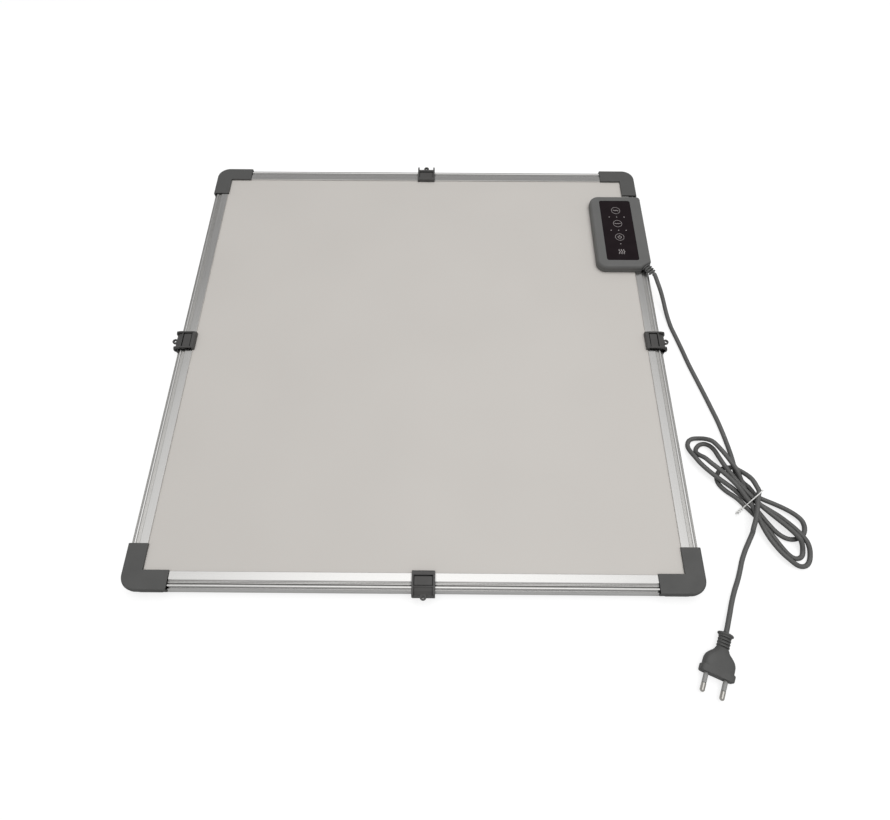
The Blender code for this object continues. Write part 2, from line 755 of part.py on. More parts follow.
def build_case(finishes):
    """Lower shell, upper shell, lens and adhesive pad of the controller."""
    outline = case_outline()
    inner = inset_outline(outline, CASE_WALL)
    pair, sensor = lead_places()
    parting_low = CASE_PARTING_Z - CLEARANCE / 2
    parting_high = CASE_PARTING_Z + CLEARANCE / 2
    neck = loft([
        relief_ring(distance, *[size + 2 * CLEARANCE for size in RELIEF_NECK])
        for distance in (-CASE_WALL - OVERRUN, OVERRUN)
    ])

    base = prism(outline, CASE_LOW, parting_low)
    base = combine(base, cuts=[prism(inner, CASE_INSIDE_LOW, CASE_HIGH)])
    screws = screw_places()
    inside = PILLAR_DIAMETER / 2 + CASE_WALL
    pillars = [
        (x, y)
        for x in (BOARD_LEFT + inside, BOARD_RIGHT - inside)
        for y in (BOARD_NEAR + inside, BOARD_FAR - inside)
    ]
    floor = CASE_LOW + CASE_FLOOR / 2
    bosses = [rod(x, y, floor, parting_low, BOSS_DIAMETER) for x, y in screws]
    bosses += [rod(x, y, floor, BOARD_LOW - CLEARANCE, PILLAR_DIAMETER, 8) for x, y in pillars]
    bore = SCREW_DIAMETER + 2 * CLEARANCE
    head = SCREW_HEAD + 2 * CLEARANCE
    head_room = SCREW_HEAD_HEIGHT + 2 * CLEARANCE
    holes = [rod(x, y, CASE_LOW - OVERRUN, CASE_HIGH, bore, 8) for x, y in screws]
    holes += [rod(x, y, CASE_LOW - OVERRUN, CASE_LOW + head_room, head) for x, y in screws]
    wire_hole = CORE_DIAMETER + BUSBAR_GAP
    holes += [
        rod(x, y, CASE_LOW - OVERRUN, CASE_INSIDE_LOW + OVERRUN, wire_hole, 8)
        for x, y in (*pair, sensor)
    ]
    base = combine(base, joins=bosses)
    base = combine(base, cuts=[*holes, neck])
    add_object("controller_base", base, finishes["case_plastic"], smooth_angle=math.radians(35))

    levels = [[(x, y, parting_high) for x, y in outline]]
    for drop, inset in zip(CASE_EDGE_DROPS, CASE_EDGE_INSETS):
        levels.append([(x, y, CASE_HIGH - drop) for x, y in inset_outline(outline, inset)])
    cover = combine(loft(levels), cuts=[prism(inner, CASE_LOW, CASE_INSIDE_HIGH)])
    roof = CASE_HIGH - CASE_TOP / 2
    posts = [rod(x, y, parting_high, roof, BOSS_DIAMETER) for x, y in screws]
    cover = combine(cover, joins=posts)
    seat_depth = LENS_THICKNESS + LENS_RECESS + CLEARANCE
    lens_corners = (
        (LENS_LEFT, LENS_NEAR, LENS_RADIUS),
        (LENS_LEFT + LENS_WIDTH, LENS_NEAR, LENS_RADIUS),
        (LENS_LEFT + LENS_WIDTH, LENS_FAR, LENS_RADIUS),
        (LENS_LEFT, LENS_FAR, LENS_RADIUS),
    )
    lens = rounded_outline(lens_corners)
    seat = prism(inset_outline(lens, -CLEARANCE), CASE_HIGH - seat_depth, CASE_HIGH + OVERRUN)
    holes = [
        rod(x, y, CASE_LOW - OVERRUN, CASE_PARTING_Z + SCREW_BITE + CLEARANCE, bore, 8)
        for x, y in screws
    ]
    holes += [rod(x, y, CASE_LOW, CASE_HIGH, LIGHT_HOLE, 8) for x, y in mark_places()]
    cover = combine(cover, cuts=[seat, *holes, neck])
    add_object("controller_cover", cover, finishes["case_plastic"], smooth_angle=math.radians(35))

    lens_top = CASE_HIGH - LENS_RECESS
    glass = prism(lens, lens_top - LENS_THICKNESS, lens_top)
    add_object("touch_lens", glass, finishes["lens_black"], smooth_angle=math.radians(35))

    rail_edge = PANEL_WIDTH / 2 - RAIL_FACE - CAP_SKIRT
    pad_low = SHEET_TOP + CLEARANCE
    pad_high = CASE_LOW - CLEARANCE
    pad = block(
        (CASE_LEFT + PAD_INSET, CASE_NEAR + PAD_INSET, pad_low),
        (rail_edge, CASE_FAR - PAD_INSET, pad_high),
    )
    pad_holes = [rod(x, y, pad_low - OVERRUN, pad_high + OVERRUN, wire_hole, 8) for x, y in (*pair, sensor)]
    add_object("adhesive_pad", combine(pad, cuts=pad_holes), finishes["pad_foam"])

    screw_low = CASE_LOW + CLEARANCE
    neck_low = screw_low + SCREW_HEAD_HEIGHT
    shank = rod(0, 0, SCREW_HEAD_HEIGHT / 2, CASE_PARTING_Z + SCREW_BITE - screw_low, SCREW_DIAMETER, 8)
    screw = combine(rod(0, 0, 0, neck_low - screw_low, SCREW_HEAD), joins=[shank], name="screw")
    for number, (x, y) in enumerate(screws, 1):
        matrix = Matrix.Translation((x, y, screw_low))
        add_object(f"case_screw_{number}", screw, finishes["screw_steel"], matrix, math.radians(35))


def hung_block(centre, size):
    """A component below the board, given by its plan centre and its size."""
    high = BOARD_LOW - CLEARANCE
    half_x, half_y = size[0] / 2, size[1] / 2
    low_corner = (centre[0] - half_x, centre[1] - half_y, high - size[2])
    return block(low_corner, (centre[0] + half_x, centre[1] + half_y, high))


def build_electronics(finishes):
    """Circuit board, lights, power parts, terminals and the mains cores."""
    pair = lead_places()[0]
    board = block((BOARD_LEFT, BOARD_NEAR, BOARD_LOW), (BOARD_RIGHT, BOARD_FAR, BOARD_TOP))
    add_object("circuit_board", board, finishes["board_green"])

    half = LED_SIZE / 2
    light = block((-half, -half, 0), (half, half, LED_HEIGHT))
    for number, (x, y) in enumerate(mark_places(), 1):
        matrix = Matrix.Translation((x, y, BOARD_TOP + CLEARANCE))
        add_object(f"indicator_light_{number}", light, finishes["light_white"], matrix)

    terminal_centre = ((pair[0][0] + pair[1][0]) / 2, pair[0][1])
    add_object("terminal_block", hung_block(terminal_centre, TERMINALS), finishes["part_green"])
    middle = (BOARD_LEFT + BOARD_RIGHT) / 2
    switch_y = BOARD_NEAR + (BOARD_FAR - BOARD_NEAR) / 4
    capacitor_y = switch_y + POWER_SWITCH[1] / 2 + FILTER_CAPACITOR[1]
    switch = hung_block((middle - POWER_SWITCH[0] / 2, switch_y), POWER_SWITCH)
    add_object("power_switch", switch, finishes["part_black"])
    capacitor = hung_block((middle, capacitor_y), FILTER_CAPACITOR)
    add_object("filter_capacitor", capacitor, finishes["part_black"])

    start, out = relief_frame()
    across = Vector((-out.y, out.x, 0))
    inner_end = start - out * (CASE_WALL + RELIEF_FLANGE_DEPTH + 2 * CLEARANCE)
    core_z = (CASE_INSIDE_LOW + BOARD_LOW) / 2
    for label, offset in (("live", -CORE_DIAMETER), ("neutral", CORE_DIAMETER)):
        root = inner_end + across * offset
        root.z = core_z
        bend = root - out * CORE_DIAMETER * 3
        finish = Vector((bend.x - CORE_DIAMETER * 2, capacitor_y - FILTER_CAPACITOR[1], core_z))
        core = tube_mesh([root, bend, finish], CORE_DIAMETER)
        add_object(f"mains_core_{label}", core, finishes["lead_sheath"])


def tube_mesh(points, diameter, sides=8):
    """A short round tube through a few points, with flat ends."""
    levels = []
    for index, point in enumerate(points):
        before = points[max(index - 1, 0)]
        after = points[min(index + 1, len(points) - 1)]
        along = (after - before).normalized()
        across = along.cross(Vector((0, 0, 1))).normalized()
        up = across.cross(along)
        levels.append([
            tuple(point + across * x + up * y) for x, y in ring(diameter / 2, sides)
        ])
    return loft(levels, "tube")


def build_relief(finish):
    """The ribbed strain relief: a flange inside the case, a neck in its wall and a tapered tail."""
    inside = -CASE_WALL - CLEARANCE
    levels = [
        relief_ring(inside - RELIEF_FLANGE_DEPTH, *RELIEF_FLANGE),
        relief_ring(inside, *RELIEF_FLANGE),
        relief_ring(inside, *RELIEF_NECK),
        relief_ring(CLEARANCE, *RELIEF_NECK),
    ]
    rows = []
    pitch = (RELIEF_LENGTH - CLEARANCE) / RELIEF_RIBS
    for rib in range(RELIEF_RIBS):
        root = CLEARANCE + rib * pitch
        wide = 1 - (1 - RELIEF_TIP_SHARE) * rib / (RELIEF_RIBS - 1)
        narrow = wide - 2 * RELIEF_GROOVE / RELIEF_WIDTH
        rows += [(root, wide), (root + pitch * RIB_SHARE, wide)]
        if rib < RELIEF_RIBS - 1:
            rows += [(root + pitch * RIB_SHARE, narrow), (root + pitch, narrow)]
    levels += [relief_ring(at, RELIEF_WIDTH * share, RELIEF_HEIGHT * share) for at, share in rows]
    add_object("cord_relief", loft(levels), finish, smooth_angle=math.radians(35))
    start, out = relief_frame()
    return start + out * rows[-1][0], out


def catmull_rom(points, spacing):
    """Points at an even spacing on a smooth curve through the given ones."""
    knots = [Vector(p) for p in points]
    knots = [knots[0] * 2 - knots[1], *knots, knots[-1] * 2 - knots[-2]]
    dense = []
    for a, b, c, d in zip(knots, knots[1:], knots[2:], knots[3:]):
        for k in range(16):
            t = k / 16
            dense.append(
                0.5 * ((2 * b) + (c - a) * t + (2 * a - 5 * b + 4 * c - d) * t * t
                       + (3 * b - a - 3 * c + d) * t * t * t)
            )
    dense.append(knots[-2])
    lengths = [0.0]
    for before, after in zip(dense, dense[1:]):
        lengths.append(lengths[-1] + (after - before).length)
    count = max(round(lengths[-1] / spacing), 1)
    even = []
    index = 0
    for k in range(count + 1):
        wanted = lengths[-1] * k / count
        while index < len(lengths) - 2 and lengths[index + 1] < wanted:
            index += 1
        span = lengths[index + 1] - lengths[index]
        place = dense[index].lerp(dense[index + 1], (wanted - lengths[index]) / span)
        place.z = max(place.z, CORD_DIAMETER / 2)
        even.append(place)
    return even


def add_cord(name, points, finish, diameter, resolution):
    """A round cord through points, with closed ends."""
    curve = bpy.data.curves.new(name, "CURVE")
    curve.dimensions = "3D"
    curve.bevel_depth = diameter / 2
    curve.bevel_resolution = resolution
    curve.use_fill_caps = True
    spline = curve.splines.new("POLY")
    spline.points.add(len(points) - 1)
    for target, point in zip(spline.points, points):
        target.co = (*point, 1)
    return add_object(name, curve, finish)


def least_gap(points, diameter):
    """The least clear gap between a tube and its own other turns."""
    fine = []
    for before, after in zip(points, points[1:]):
        steps = max(int((after - before).length / (diameter / 6)), 1)
        fine += [before.lerp(after, k / steps) for k in range(steps)]
    places = np.array([tuple(p) for p in fine])
    steps = np.linalg.norm(np.diff(places, axis=0), axis=1)
    run = np.concatenate([[0], np.cumsum(steps)])
    apart = np.linalg.norm(places[:, None] - places[None], axis=2)
    apart[np.abs(run[:, None] - run[None]) < 3 * diameter] = np.inf
    return float(apart.min()) - diameter


# Each lobe of the hank as shares: the side it lies on, its length, half width and lean to
# +across, how full its two legs are, the layer of its two legs, and where each leg climbs
# from its waist layer
LOBE_SHARES = (
    (1, 0.66, 0.80, 0.84, (0.9, 1.7), (0.4, 0.1), ((0, 0.35), (0, 0.35))),
    (-1, 1.00, 0.78, 0.31, (1.0, 1.0), (1.0, 1.8), ((0, 0.30), (0.10, 0.38))),
    (1, 0.91, 0.84, -0.45, (1.1, 0.5), (0.9, 0.7), ((0, 0.40), (0.1, 0.5))),
    (-1, 0.88, 0.60, 0.44, (4.0, 4.0), (1.9, 0.6), ((0, 0.30), (0.3, 0.85))),
    (1, 0.81, 0.50, -0.34, (1.8, 3.2), (1.3, 0.2), ((0, 0.6), (0.1, 0.52))),
    (-1, 0.49, 0.64, 0.25, (2.0, 0.6), (0, 0.85), ((0.25, 0.5), (0.25, 0.8))),
)
# Where each strand crosses the waist: pitches to the side, and its layer
WAIST_SHARES = ((1.75, 0), (-0.34, 0), (0.70, 0), (-0.70, 1), (0.32, 1), (-1.52, 0), (1.50, 2))
# The strand on top crosses the waist at a slant: its shift, as a share, and its spread there
TOP_STRAND_SHARE = 0.05
TOP_STRAND_SPREAD = 1.8
# The strands that enter and leave the hank: shares of its reach along and of its half width across
ENTRY_SHARES = ((-0.277, 0.800), (-0.200, 0.740), (-0.120, 0.710))
EXIT_SHARES = ((0.008, 0.30), (0.060, -0.12), (0.120, -0.56), (0.180, -1.02), (0.215, -1.33))
EXIT_DROP_SHARES = (0, 0, 0.1, 0.4, 0.7)


def layer_height(layer, lift=0.0):
    """Height of a strand's middle in a layer."""
    return lift + CORD_DIAMETER / 2 + layer * LAYER_STEP


def lobe_points(index):
    """One lobe of the hank, from the waist out to its tip and back."""
    side, length_share, width_share, lean_share, fullness, legs, climbs = LOBE_SHARES[index]
    lift = TIE_THICKNESS + CLEARANCE
    points = []
    for k in range(POINTS_PER_LOBE):
        turn = math.pi * k / POINTS_PER_LOBE
        along = math.sin(turn) ** LOBE_SHAPE_SHARE
        end = 0 if k <= POINTS_PER_LOBE / 2 else 1
        full = fullness[end]
        widest = 2 * ((full + 1) / (full + 2)) ** ((full + 1) / 2) / math.sqrt(full + 2)
        bulge = side * width_share * math.sin(2 * turn) * math.sin(turn) ** full / widest
        slot, layer = WAIST_SHARES[index + end]
        across = slot * STRAND_PITCH * math.cos(turn) ** 2
        across += HANK_HALF_WIDTH * (lean_share * math.sin(turn) ** 2 + bulge)
        first, last = climbs[end]
        waist = layer_height(layer, lift)
        height = waist + (layer_height(legs[end]) - waist) * smoothstep((along - first) / (last - first))
        height += (layer_height(0) - height) * smoothstep((along - TIP_SHARE) / (1 - TIP_SHARE))
        points.append((side * HANK_REACH * length_share * along, across, height))
    return points


def hank_points():
    """The tied turns of the lead as one line, in the panel's frame."""
    lift = TIE_THICKNESS + CLEARANCE
    low = layer_height(0)
    waist_low = layer_height(0, lift)
    waist_high = layer_height(2, lift)
    entry_heights = (low, low, waist_low)
    exit_heights = [waist_high - LAYER_STEP * share for share in EXIT_DROP_SHARES]
    line = []
    for (along, across), height in zip(ENTRY_SHARES, entry_heights):
        line.append((HANK_REACH * along, HANK_HALF_WIDTH * across, height))
    for index in range(len(LOBE_SHARES)):
        line += lobe_points(index)
    for (along, across), height in zip(EXIT_SHARES, exit_heights):
        line.append((HANK_REACH * along, HANK_HALF_WIDTH * across, height))
    cosine, sine = math.cos(HANK_ANGLE), math.sin(HANK_ANGLE)
    return [
        Vector((HANK_WAIST[0] + a * cosine - b * sine, HANK_WAIST[1] + a * sine + b * cosine, z))
        for a, b, z in line
    ]


# Route of the lead from the strain relief down to the hank, from the panel's far right corner
LEAD_ROUTE = (
    (0.0079, -0.2055, 0.0208),
    (0.0112, -0.2160, 0.0170),
    (0.0145, -0.2260, 0.0115),
    (0.0172, -0.2380, 0.0066),
    (0.0196, -0.2500, 0.0036),
    (0.0220, -0.2630, 0.0026),
    (0.0262, -0.2800, 0.0026),
    (0.0305, -0.2980, 0.0026),
    (0.0350, -0.3180, 0.0026),
    (0.0410, -0.3400, 0.0026),
    (0.0470, -0.3620, 0.0026),
    (0.0522, -0.3820, 0.0026),
    (0.0560, -0.3970, 0.0026),
    (0.0594, -0.4150, 0.0026),
    (0.0618, -0.4310, 0.0026),
    (0.0634, -0.4460, 0.0026),
)
# Route of the lead from the hank to the plug, from the same corner
TAIL_ROUTE = (
    (0.0652, -0.5335, 0.0082),
    (0.0612, -0.5418, 0.0045),
    (0.0560, -0.5510, 0.0027),
    (0.0501, -0.5622, 0.0026),
    (0.0457, -0.5729, 0.0026),
    (0.0410, -0.5834, 0.0026),
    (0.0356, -0.5937, 0.0028),
    (0.0300, -0.6055, 0.0036),
    (0.0249, -0.6175, 0.0050),
    (0.0203, -0.6280, 0.0064),
)


def build_cord(finishes, relief_end, relief_out):
    """The mains lead: the run to the hank, the hank itself, and the run to the plug."""
    finish = finishes["cord_sheath"]
    hank = hank_points()
    print("least gap of the hank to itself, mm:", round(least_gap(hank, CORD_DIAMETER) * 1000, 2))
    add_cord("cord_hank", hank, finish, CORD_DIAMETER, 1)

    spacing = 2.4 * CORD_DIAMETER
    enter = (hank[1] - hank[0]).normalized()
    leave = (hank[-1] - hank[-2]).normalized()
    lead_start = relief_end + relief_out * CLEARANCE
    lead_end = hank[0] - enter * CLEARANCE
    route = [
        lead_start + relief_out * CORD_DIAMETER / 2,
        *[FAR_RIGHT_CORNER + Vector(p) for p in LEAD_ROUTE],
        lead_end - enter * CORD_DIAMETER,
    ]
    lead = [lead_start, *catmull_rom(route, spacing), lead_end]
    add_cord("cord_lead", lead, finish, CORD_DIAMETER, 2)

    out, neck_z = plug_axis()
    collar = Vector((*PLUG_FACE, neck_z)) - out * (PLUG_LENGTH + CLEARANCE)
    tail_start = hank[-1] + leave * CLEARANCE
    route = [
        tail_start + leave * CORD_DIAMETER,
        *[FAR_RIGHT_CORNER + Vector(p) for p in TAIL_ROUTE],
        collar - out * CORD_DIAMETER,
    ]
    tail = [tail_start, *catmull_rom(route, spacing), collar]
    add_cord("cord_tail", tail, finish, CORD_DIAMETER, 2)
    length = sum((b - a).length for run in (lead, hank, tail) for a, b in zip(run, run[1:]))
    print("length of the lead from relief to plug, m:", round(length, 3))


def tie_arc(across, height, first, last, spread=1.0):
    """Part of the tie round one strand, between two angles in degrees from +across."""
    radius = CORD_DIAMETER / 2 + CLEARANCE * 2 + TIE_THICKNESS / 2
    count = max(round(abs(last - first) / 28), 1)
    points = []
    for k in range(count + 1):
        angle = math.radians(first + (last - first) * k / count)
        rise = height + radius * math.sin(angle)
        points.append((across + radius * spread * math.cos(angle), max(rise, TIE_THICKNESS / 2)))
    return points


def tie_points():
    """The wire tie: once round the waist, then both ends twisted together."""
    lift = TIE_THICKNESS + CLEARANCE
    low = layer_height(0, lift)
    left = WAIST_SHARES[5][0] * STRAND_PITCH
    right = WAIST_SHARES[0][0] * STRAND_PITCH
    second = WAIST_SHARES[3][0] * STRAND_PITCH
    top_middle = (EXIT_SHARES[0][1] + TOP_STRAND_SHARE) * HANK_HALF_WIDTH
    twist_radius = (TIE_THICKNESS + 3 * CLEARANCE) / 2
    twist_z = low + CORD_DIAMETER / 4
    twist_start = left - CORD_DIAMETER - TIE_THICKNESS / 2
    loop = [
        (twist_start, twist_z - twist_radius),
        *tie_arc(left, low, 195, 270),
        *tie_arc(right, low, -90, 10),
        *tie_arc(top_middle, layer_height(2, lift), 10, 130, TOP_STRAND_SPREAD),
        *tie_arc(second, layer_height(1, lift), 135, 165),
        *tie_arc(left, low, 135, 165),
        (twist_start, twist_z + twist_radius),
    ]
    steps = round(8 * TIE_TWISTS)
    first, second = [], []
    for k in range(1, steps + 1):
        angle = math.pi / 2 + 2 * math.pi * TIE_TWISTS * k / steps
        out = twist_start - TIE_TWIST_LENGTH * k / steps
        swing = (twist_radius * math.cos(angle), twist_radius * math.sin(angle))
        second.append((out, twist_z + swing[1], swing[0]))
        first.append((out, twist_z - swing[1], -swing[0]))
    line = [*reversed(first), *[(across, height, 0) for across, height in loop], *second]
    cosine, sine = math.cos(HANK_ANGLE), math.sin(HANK_ANGLE)
    return [
        Vector((HANK_WAIST[0] + a * cosine - b * sine, HANK_WAIST[1] + a * sine + b * cosine, z))
        for b, z, a in line
    ]


def plug_axis():
    """Direction in which the plug's pins point, and the height of its middle."""
    out = Vector((math.cos(PLUG_ANGLE), math.sin(PLUG_ANGLE), 0))
    return out, PLUG_THICKNESS / 2


def plug_ring(back, width, height, squareness, sides=20):
    """Points of a rounded outline across the plug, a distance back from its face."""
    out, middle = plug_axis()
    across = Vector((-out.y, out.x, 0))
    centre = Vector((*PLUG_FACE, middle)) - out * back
    points = []
    for k in range(sides):
        angle = 2 * math.pi * (k + 0.5) / sides
        x = math.copysign(abs(math.cos(angle)) ** squareness, math.cos(angle))
        z = math.copysign(abs(math.sin(angle)) ** squareness, math.sin(angle))
        points.append(tuple(centre + across * (x * width / 2) + Vector((0, 0, z * height / 2))))
    return points


# Stations of the plug's body from its face back to its neck: shares of its length without the
# neck, of its width and of its thickness, and how square the outline is there
BODY_SHARES = (
    (0.00, 0.98, 0.96, 0.35),
    (0.03, 1.00, 1.00, 0.35),
    (0.24, 1.00, 1.00, 0.35),
    (0.27, 0.91, 0.99, 0.45),
    (0.52, 0.91, 0.99, 0.50),
    (0.66, 0.83, 0.97, 0.60),
    (0.78, 0.67, 0.93, 0.75),
    (0.88, 0.50, 0.86, 0.90),
    (1.00, 0.39, 0.77, 1.00),
)


def build_plug(finishes):
    """Two-pin plug: moulded body with a ribbed neck, pins and their insulating sleeves."""
    body_length = PLUG_LENGTH - NECK_LENGTH
    levels = [
        plug_ring(body_length * at, PLUG_WIDTH * wide, PLUG_THICKNESS * thick, square)
        for at, wide, thick, square in BODY_SHARES
    ]
    pitch = NECK_LENGTH / (NECK_RIBS + 1)
    for rib in range(NECK_RIBS):
        root = body_length + rib * pitch
        narrow = NECK_WIDTH - 2 * NECK_WAIST
        low = NECK_HEIGHT - 2 * NECK_SLOT
        slope = pitch * NECK_SLOPE_SHARE
        levels += [
            plug_ring(root + slope, narrow, low, 1),
            plug_ring(root + pitch / 2, narrow, low, 1),
            plug_ring(root + pitch / 2 + slope, NECK_WIDTH, NECK_HEIGHT, 1),
            plug_ring(root + pitch, NECK_WIDTH, NECK_HEIGHT, 1),
        ]
    collar = PLUG_LENGTH - pitch
    levels += [
        plug_ring(collar + pitch * NECK_SLOPE_SHARE * 2, COLLAR_WIDTH, COLLAR_HEIGHT, 1),
        plug_ring(PLUG_LENGTH - pitch * NECK_SLOPE_SHARE, COLLAR_WIDTH, COLLAR_HEIGHT, 1),
        plug_ring(PLUG_LENGTH, NECK_WIDTH, NECK_HEIGHT, 1),
    ]
    out, middle = plug_axis()
    across = Vector((-out.y, out.x, 0))
    turn = Matrix((
        (across.x, 0, out.x, 0), (across.y, 0, out.y, 0), (0, 1, 0, 0), (0, 0, 0, 1),
    ))
    sockets = []
    for label, sign in (("left", -1), ("right", 1)):
        place = Matrix.Translation(Vector((*PLUG_FACE, middle)) + across * (sign * PIN_SPACING / 2)) @ turn
        bore = PIN_DIAMETER + 2 * CLEARANCE
        socket = rod(0, 0, -PIN_SEAT - CLEARANCE, OVERRUN, bore, 12)
        core = SLEEVE_BORE - 2 * CLEARANCE
        radius = PIN_DIAMETER / 2
        profile = (
            (-PIN_SEAT, core / 2),
            (SLEEVE_LENGTH + CLEARANCE, core / 2),
            (SLEEVE_LENGTH + CLEARANCE, radius),
            (PIN_LENGTH - radius / 2, radius),
            (PIN_LENGTH, radius / 2),
        )
        pin = loft([[(x, y, at) for x, y in ring(r, 12)] for at, r in profile])
        sleeve = combine(
            rod(0, 0, -PIN_SEAT, SLEEVE_LENGTH, SLEEVE_DIAMETER, 12),
            cuts=[rod(0, 0, -PIN_SEAT - OVERRUN, SLEEVE_LENGTH + OVERRUN, SLEEVE_BORE, 12)],
        )
        socket.transform(place)
        sockets.append(socket)
        angle = math.radians(35)
        add_object(f"plug_pin_{label}", pin, finishes["pin_metal"], place, angle)
        add_object(f"pin_sleeve_{label}", sleeve, finishes["sleeve_plastic"], place, angle)
    body = combine(loft(levels), cuts=sockets)
    add_object("plug_body", body, finishes["plug_plastic"], smooth_angle=math.radians(40))


def main():
    clear_scene()
    finishes = {
        name: make_material(name, colour, roughness, metallic)
        for name, colour, roughness, metallic in (
            ("front_coating", (0.56, 0.54, 0.51), 0.45, 0.0),
            ("back_coating", (0.60, 0.60, 0.58), 0.55, 0.0),
            ("anodised_aluminium", (0.72, 0.72, 0.72), 0.32, 1.0),
            ("cap_plastic", (0.10, 0.10, 0.098), 0.55, 0.0),
            ("case_plastic", (0.14, 0.14, 0.138), 0.50, 0.0),
            ("lens_black", (0.010, 0.007, 0.009), 0.12, 0.0),
            ("carbon_film", (0.02, 0.02, 0.02), 0.50, 0.0),
            ("copper", (0.70, 0.32, 0.18), 0.35, 1.0),
            ("core_foam", (0.75, 0.72, 0.62), 0.90, 0.0),
            ("pad_foam", (0.05, 0.05, 0.05), 0.90, 0.0),
            ("board_green", (0.03, 0.18, 0.07), 0.40, 0.0),
            ("part_green", (0.05, 0.30, 0.12), 0.45, 0.0),
            ("part_black", (0.02, 0.02, 0.02), 0.40, 0.0),
            ("light_white", (0.80, 0.80, 0.80), 0.30, 0.0),
            ("lead_sheath", (0.45, 0.08, 0.05), 0.50, 0.0),
            ("screw_steel", (0.55, 0.55, 0.56), 0.35, 1.0),
            ("cord_sheath", (0.11, 0.11, 0.108), 0.50, 0.0),
            ("tie_plastic", (0.80, 0.80, 0.79), 0.40, 0.0),
            ("plug_plastic", (0.11, 0.11, 0.108), 0.50, 0.0),
            ("sleeve_plastic", (0.35, 0.35, 0.34), 0.50, 0.0),
            ("pin_metal", (0.75, 0.74, 0.72), 0.25, 1.0),
        )
    }
    build_layers(finishes)
    build_rails(finishes["anodised_aluminium"])
    build_caps(finishes["cap_plastic"])
    build_clips(finishes["cap_plastic"])
    build_case(finishes)
    build_electronics(finishes)
    relief_end, relief_out = build_relief(finishes["cord_sheath"])
    build_cord(finishes, relief_end, relief_out)
    add_cord("cord_tie", tie_points(), finishes["tie_plastic"], TIE_THICKNESS, 1)
    build_plug(finishes)


main()
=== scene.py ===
# %% [markdown]
# # An under desk heater panel
#
# This panel is a flat heated board, 600 mm square, in a frame of four aluminium rails. Moulded
# caps close the corners, a clip slides along each rail, and a touch controller sits over the
# right rail. Its mains lead lies on the floor beside it, tied in a hank.
#
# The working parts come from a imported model, which stays where it is. This lesson dresses it:
# some of its parts only get a finish, and the ones that show get a finer shape as well.

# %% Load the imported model
import json
import math

import bmesh
import bpy
from mathutils import Matrix, Vector

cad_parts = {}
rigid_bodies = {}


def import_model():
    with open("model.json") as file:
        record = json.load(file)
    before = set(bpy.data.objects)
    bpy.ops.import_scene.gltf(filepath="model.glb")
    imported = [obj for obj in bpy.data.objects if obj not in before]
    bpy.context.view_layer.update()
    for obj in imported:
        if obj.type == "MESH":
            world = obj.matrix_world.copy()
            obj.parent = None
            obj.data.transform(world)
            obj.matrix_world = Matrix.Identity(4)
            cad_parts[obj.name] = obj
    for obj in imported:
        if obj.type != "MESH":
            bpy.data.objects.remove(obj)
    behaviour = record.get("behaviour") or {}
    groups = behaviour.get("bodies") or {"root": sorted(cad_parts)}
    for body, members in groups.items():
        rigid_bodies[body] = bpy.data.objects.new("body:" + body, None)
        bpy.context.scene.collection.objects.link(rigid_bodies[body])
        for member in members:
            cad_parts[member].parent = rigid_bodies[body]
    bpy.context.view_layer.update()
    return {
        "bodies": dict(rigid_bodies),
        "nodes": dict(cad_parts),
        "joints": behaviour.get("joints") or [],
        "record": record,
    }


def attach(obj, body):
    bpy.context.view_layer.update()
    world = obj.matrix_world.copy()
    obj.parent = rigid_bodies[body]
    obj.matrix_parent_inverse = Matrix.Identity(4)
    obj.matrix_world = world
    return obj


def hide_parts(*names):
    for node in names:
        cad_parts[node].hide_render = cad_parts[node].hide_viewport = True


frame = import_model()
nodes = frame["nodes"]


def new_object(name, data):
    """Put data into the scene as an object."""
    item = bpy.data.objects.new(name, data)
    bpy.context.collection.objects.link(item)
    return item


# %% [markdown]
# ## Sizes that many pieces share
#
# All lengths are in metres, in the model's own frame: the origin is on the floor below the
# middle of the panel, X points to the side with the controller, and Y away from the viewer.
# A size that several pieces need is written once, here.

# %% Shared sizes
PANEL_HALF = 0.300
GAP = 0.0003
RAIL_LOW = 0.0022
RAIL_TOP = 0.0182
RAIL_FACE = 0.0185
RAIL_LIP = 0.0013
RAIL_WEB = 0.0104
RAIL_WALL = 0.0012
SLOT_LOW = 0.0035
SLOT_HIGH = 0.0169
SHEET_TOP = 0.0166
FAR_RIGHT_CORNER = Vector((PANEL_HALF, PANEL_HALF, 0))
SIDES = {"near": 0, "right": 1, "far": 2, "left": 3}
print("rails are", round((RAIL_TOP - RAIL_LOW) * 1000, 1), "mm high")

# %% [markdown]
# ## The camera
#
# The picture was taken from about 0.8 m away, looking down at the panel. A wide lens gives the
# strong taper of the side rails. The values come from a fit to the frame's edges in the
# picture. The turns are built one after another: roll first, then tilt, then the turn about Z.

# %% Camera at the photograph's place
CAMERA_PLACE = (0.033365, -0.422155, 0.663755)
CAMERA_PITCH = math.radians(62.921)
CAMERA_YAW = math.radians(-0.379)
CAMERA_ROLL = math.radians(0.082)
CAMERA_LENS_MM = 24.988
SENSOR_MM = 36

view = bpy.data.cameras.new("photo_camera")
view.sensor_width = SENSOR_MM
view.sensor_fit = "HORIZONTAL"
view.lens = CAMERA_LENS_MM
view.clip_start = 0.01
camera = new_object("photo_camera", view)
camera.matrix_world = (
    Matrix.Translation(CAMERA_PLACE)
    @ Matrix.Rotation(-CAMERA_YAW, 4, "Z")
    @ Matrix.Rotation(math.pi / 2 - CAMERA_PITCH, 4, "X")
    @ Matrix.Rotation(CAMERA_ROLL, 4, "Z")
)
bpy.context.scene.camera = camera
print("lens", view.lens, "mm")

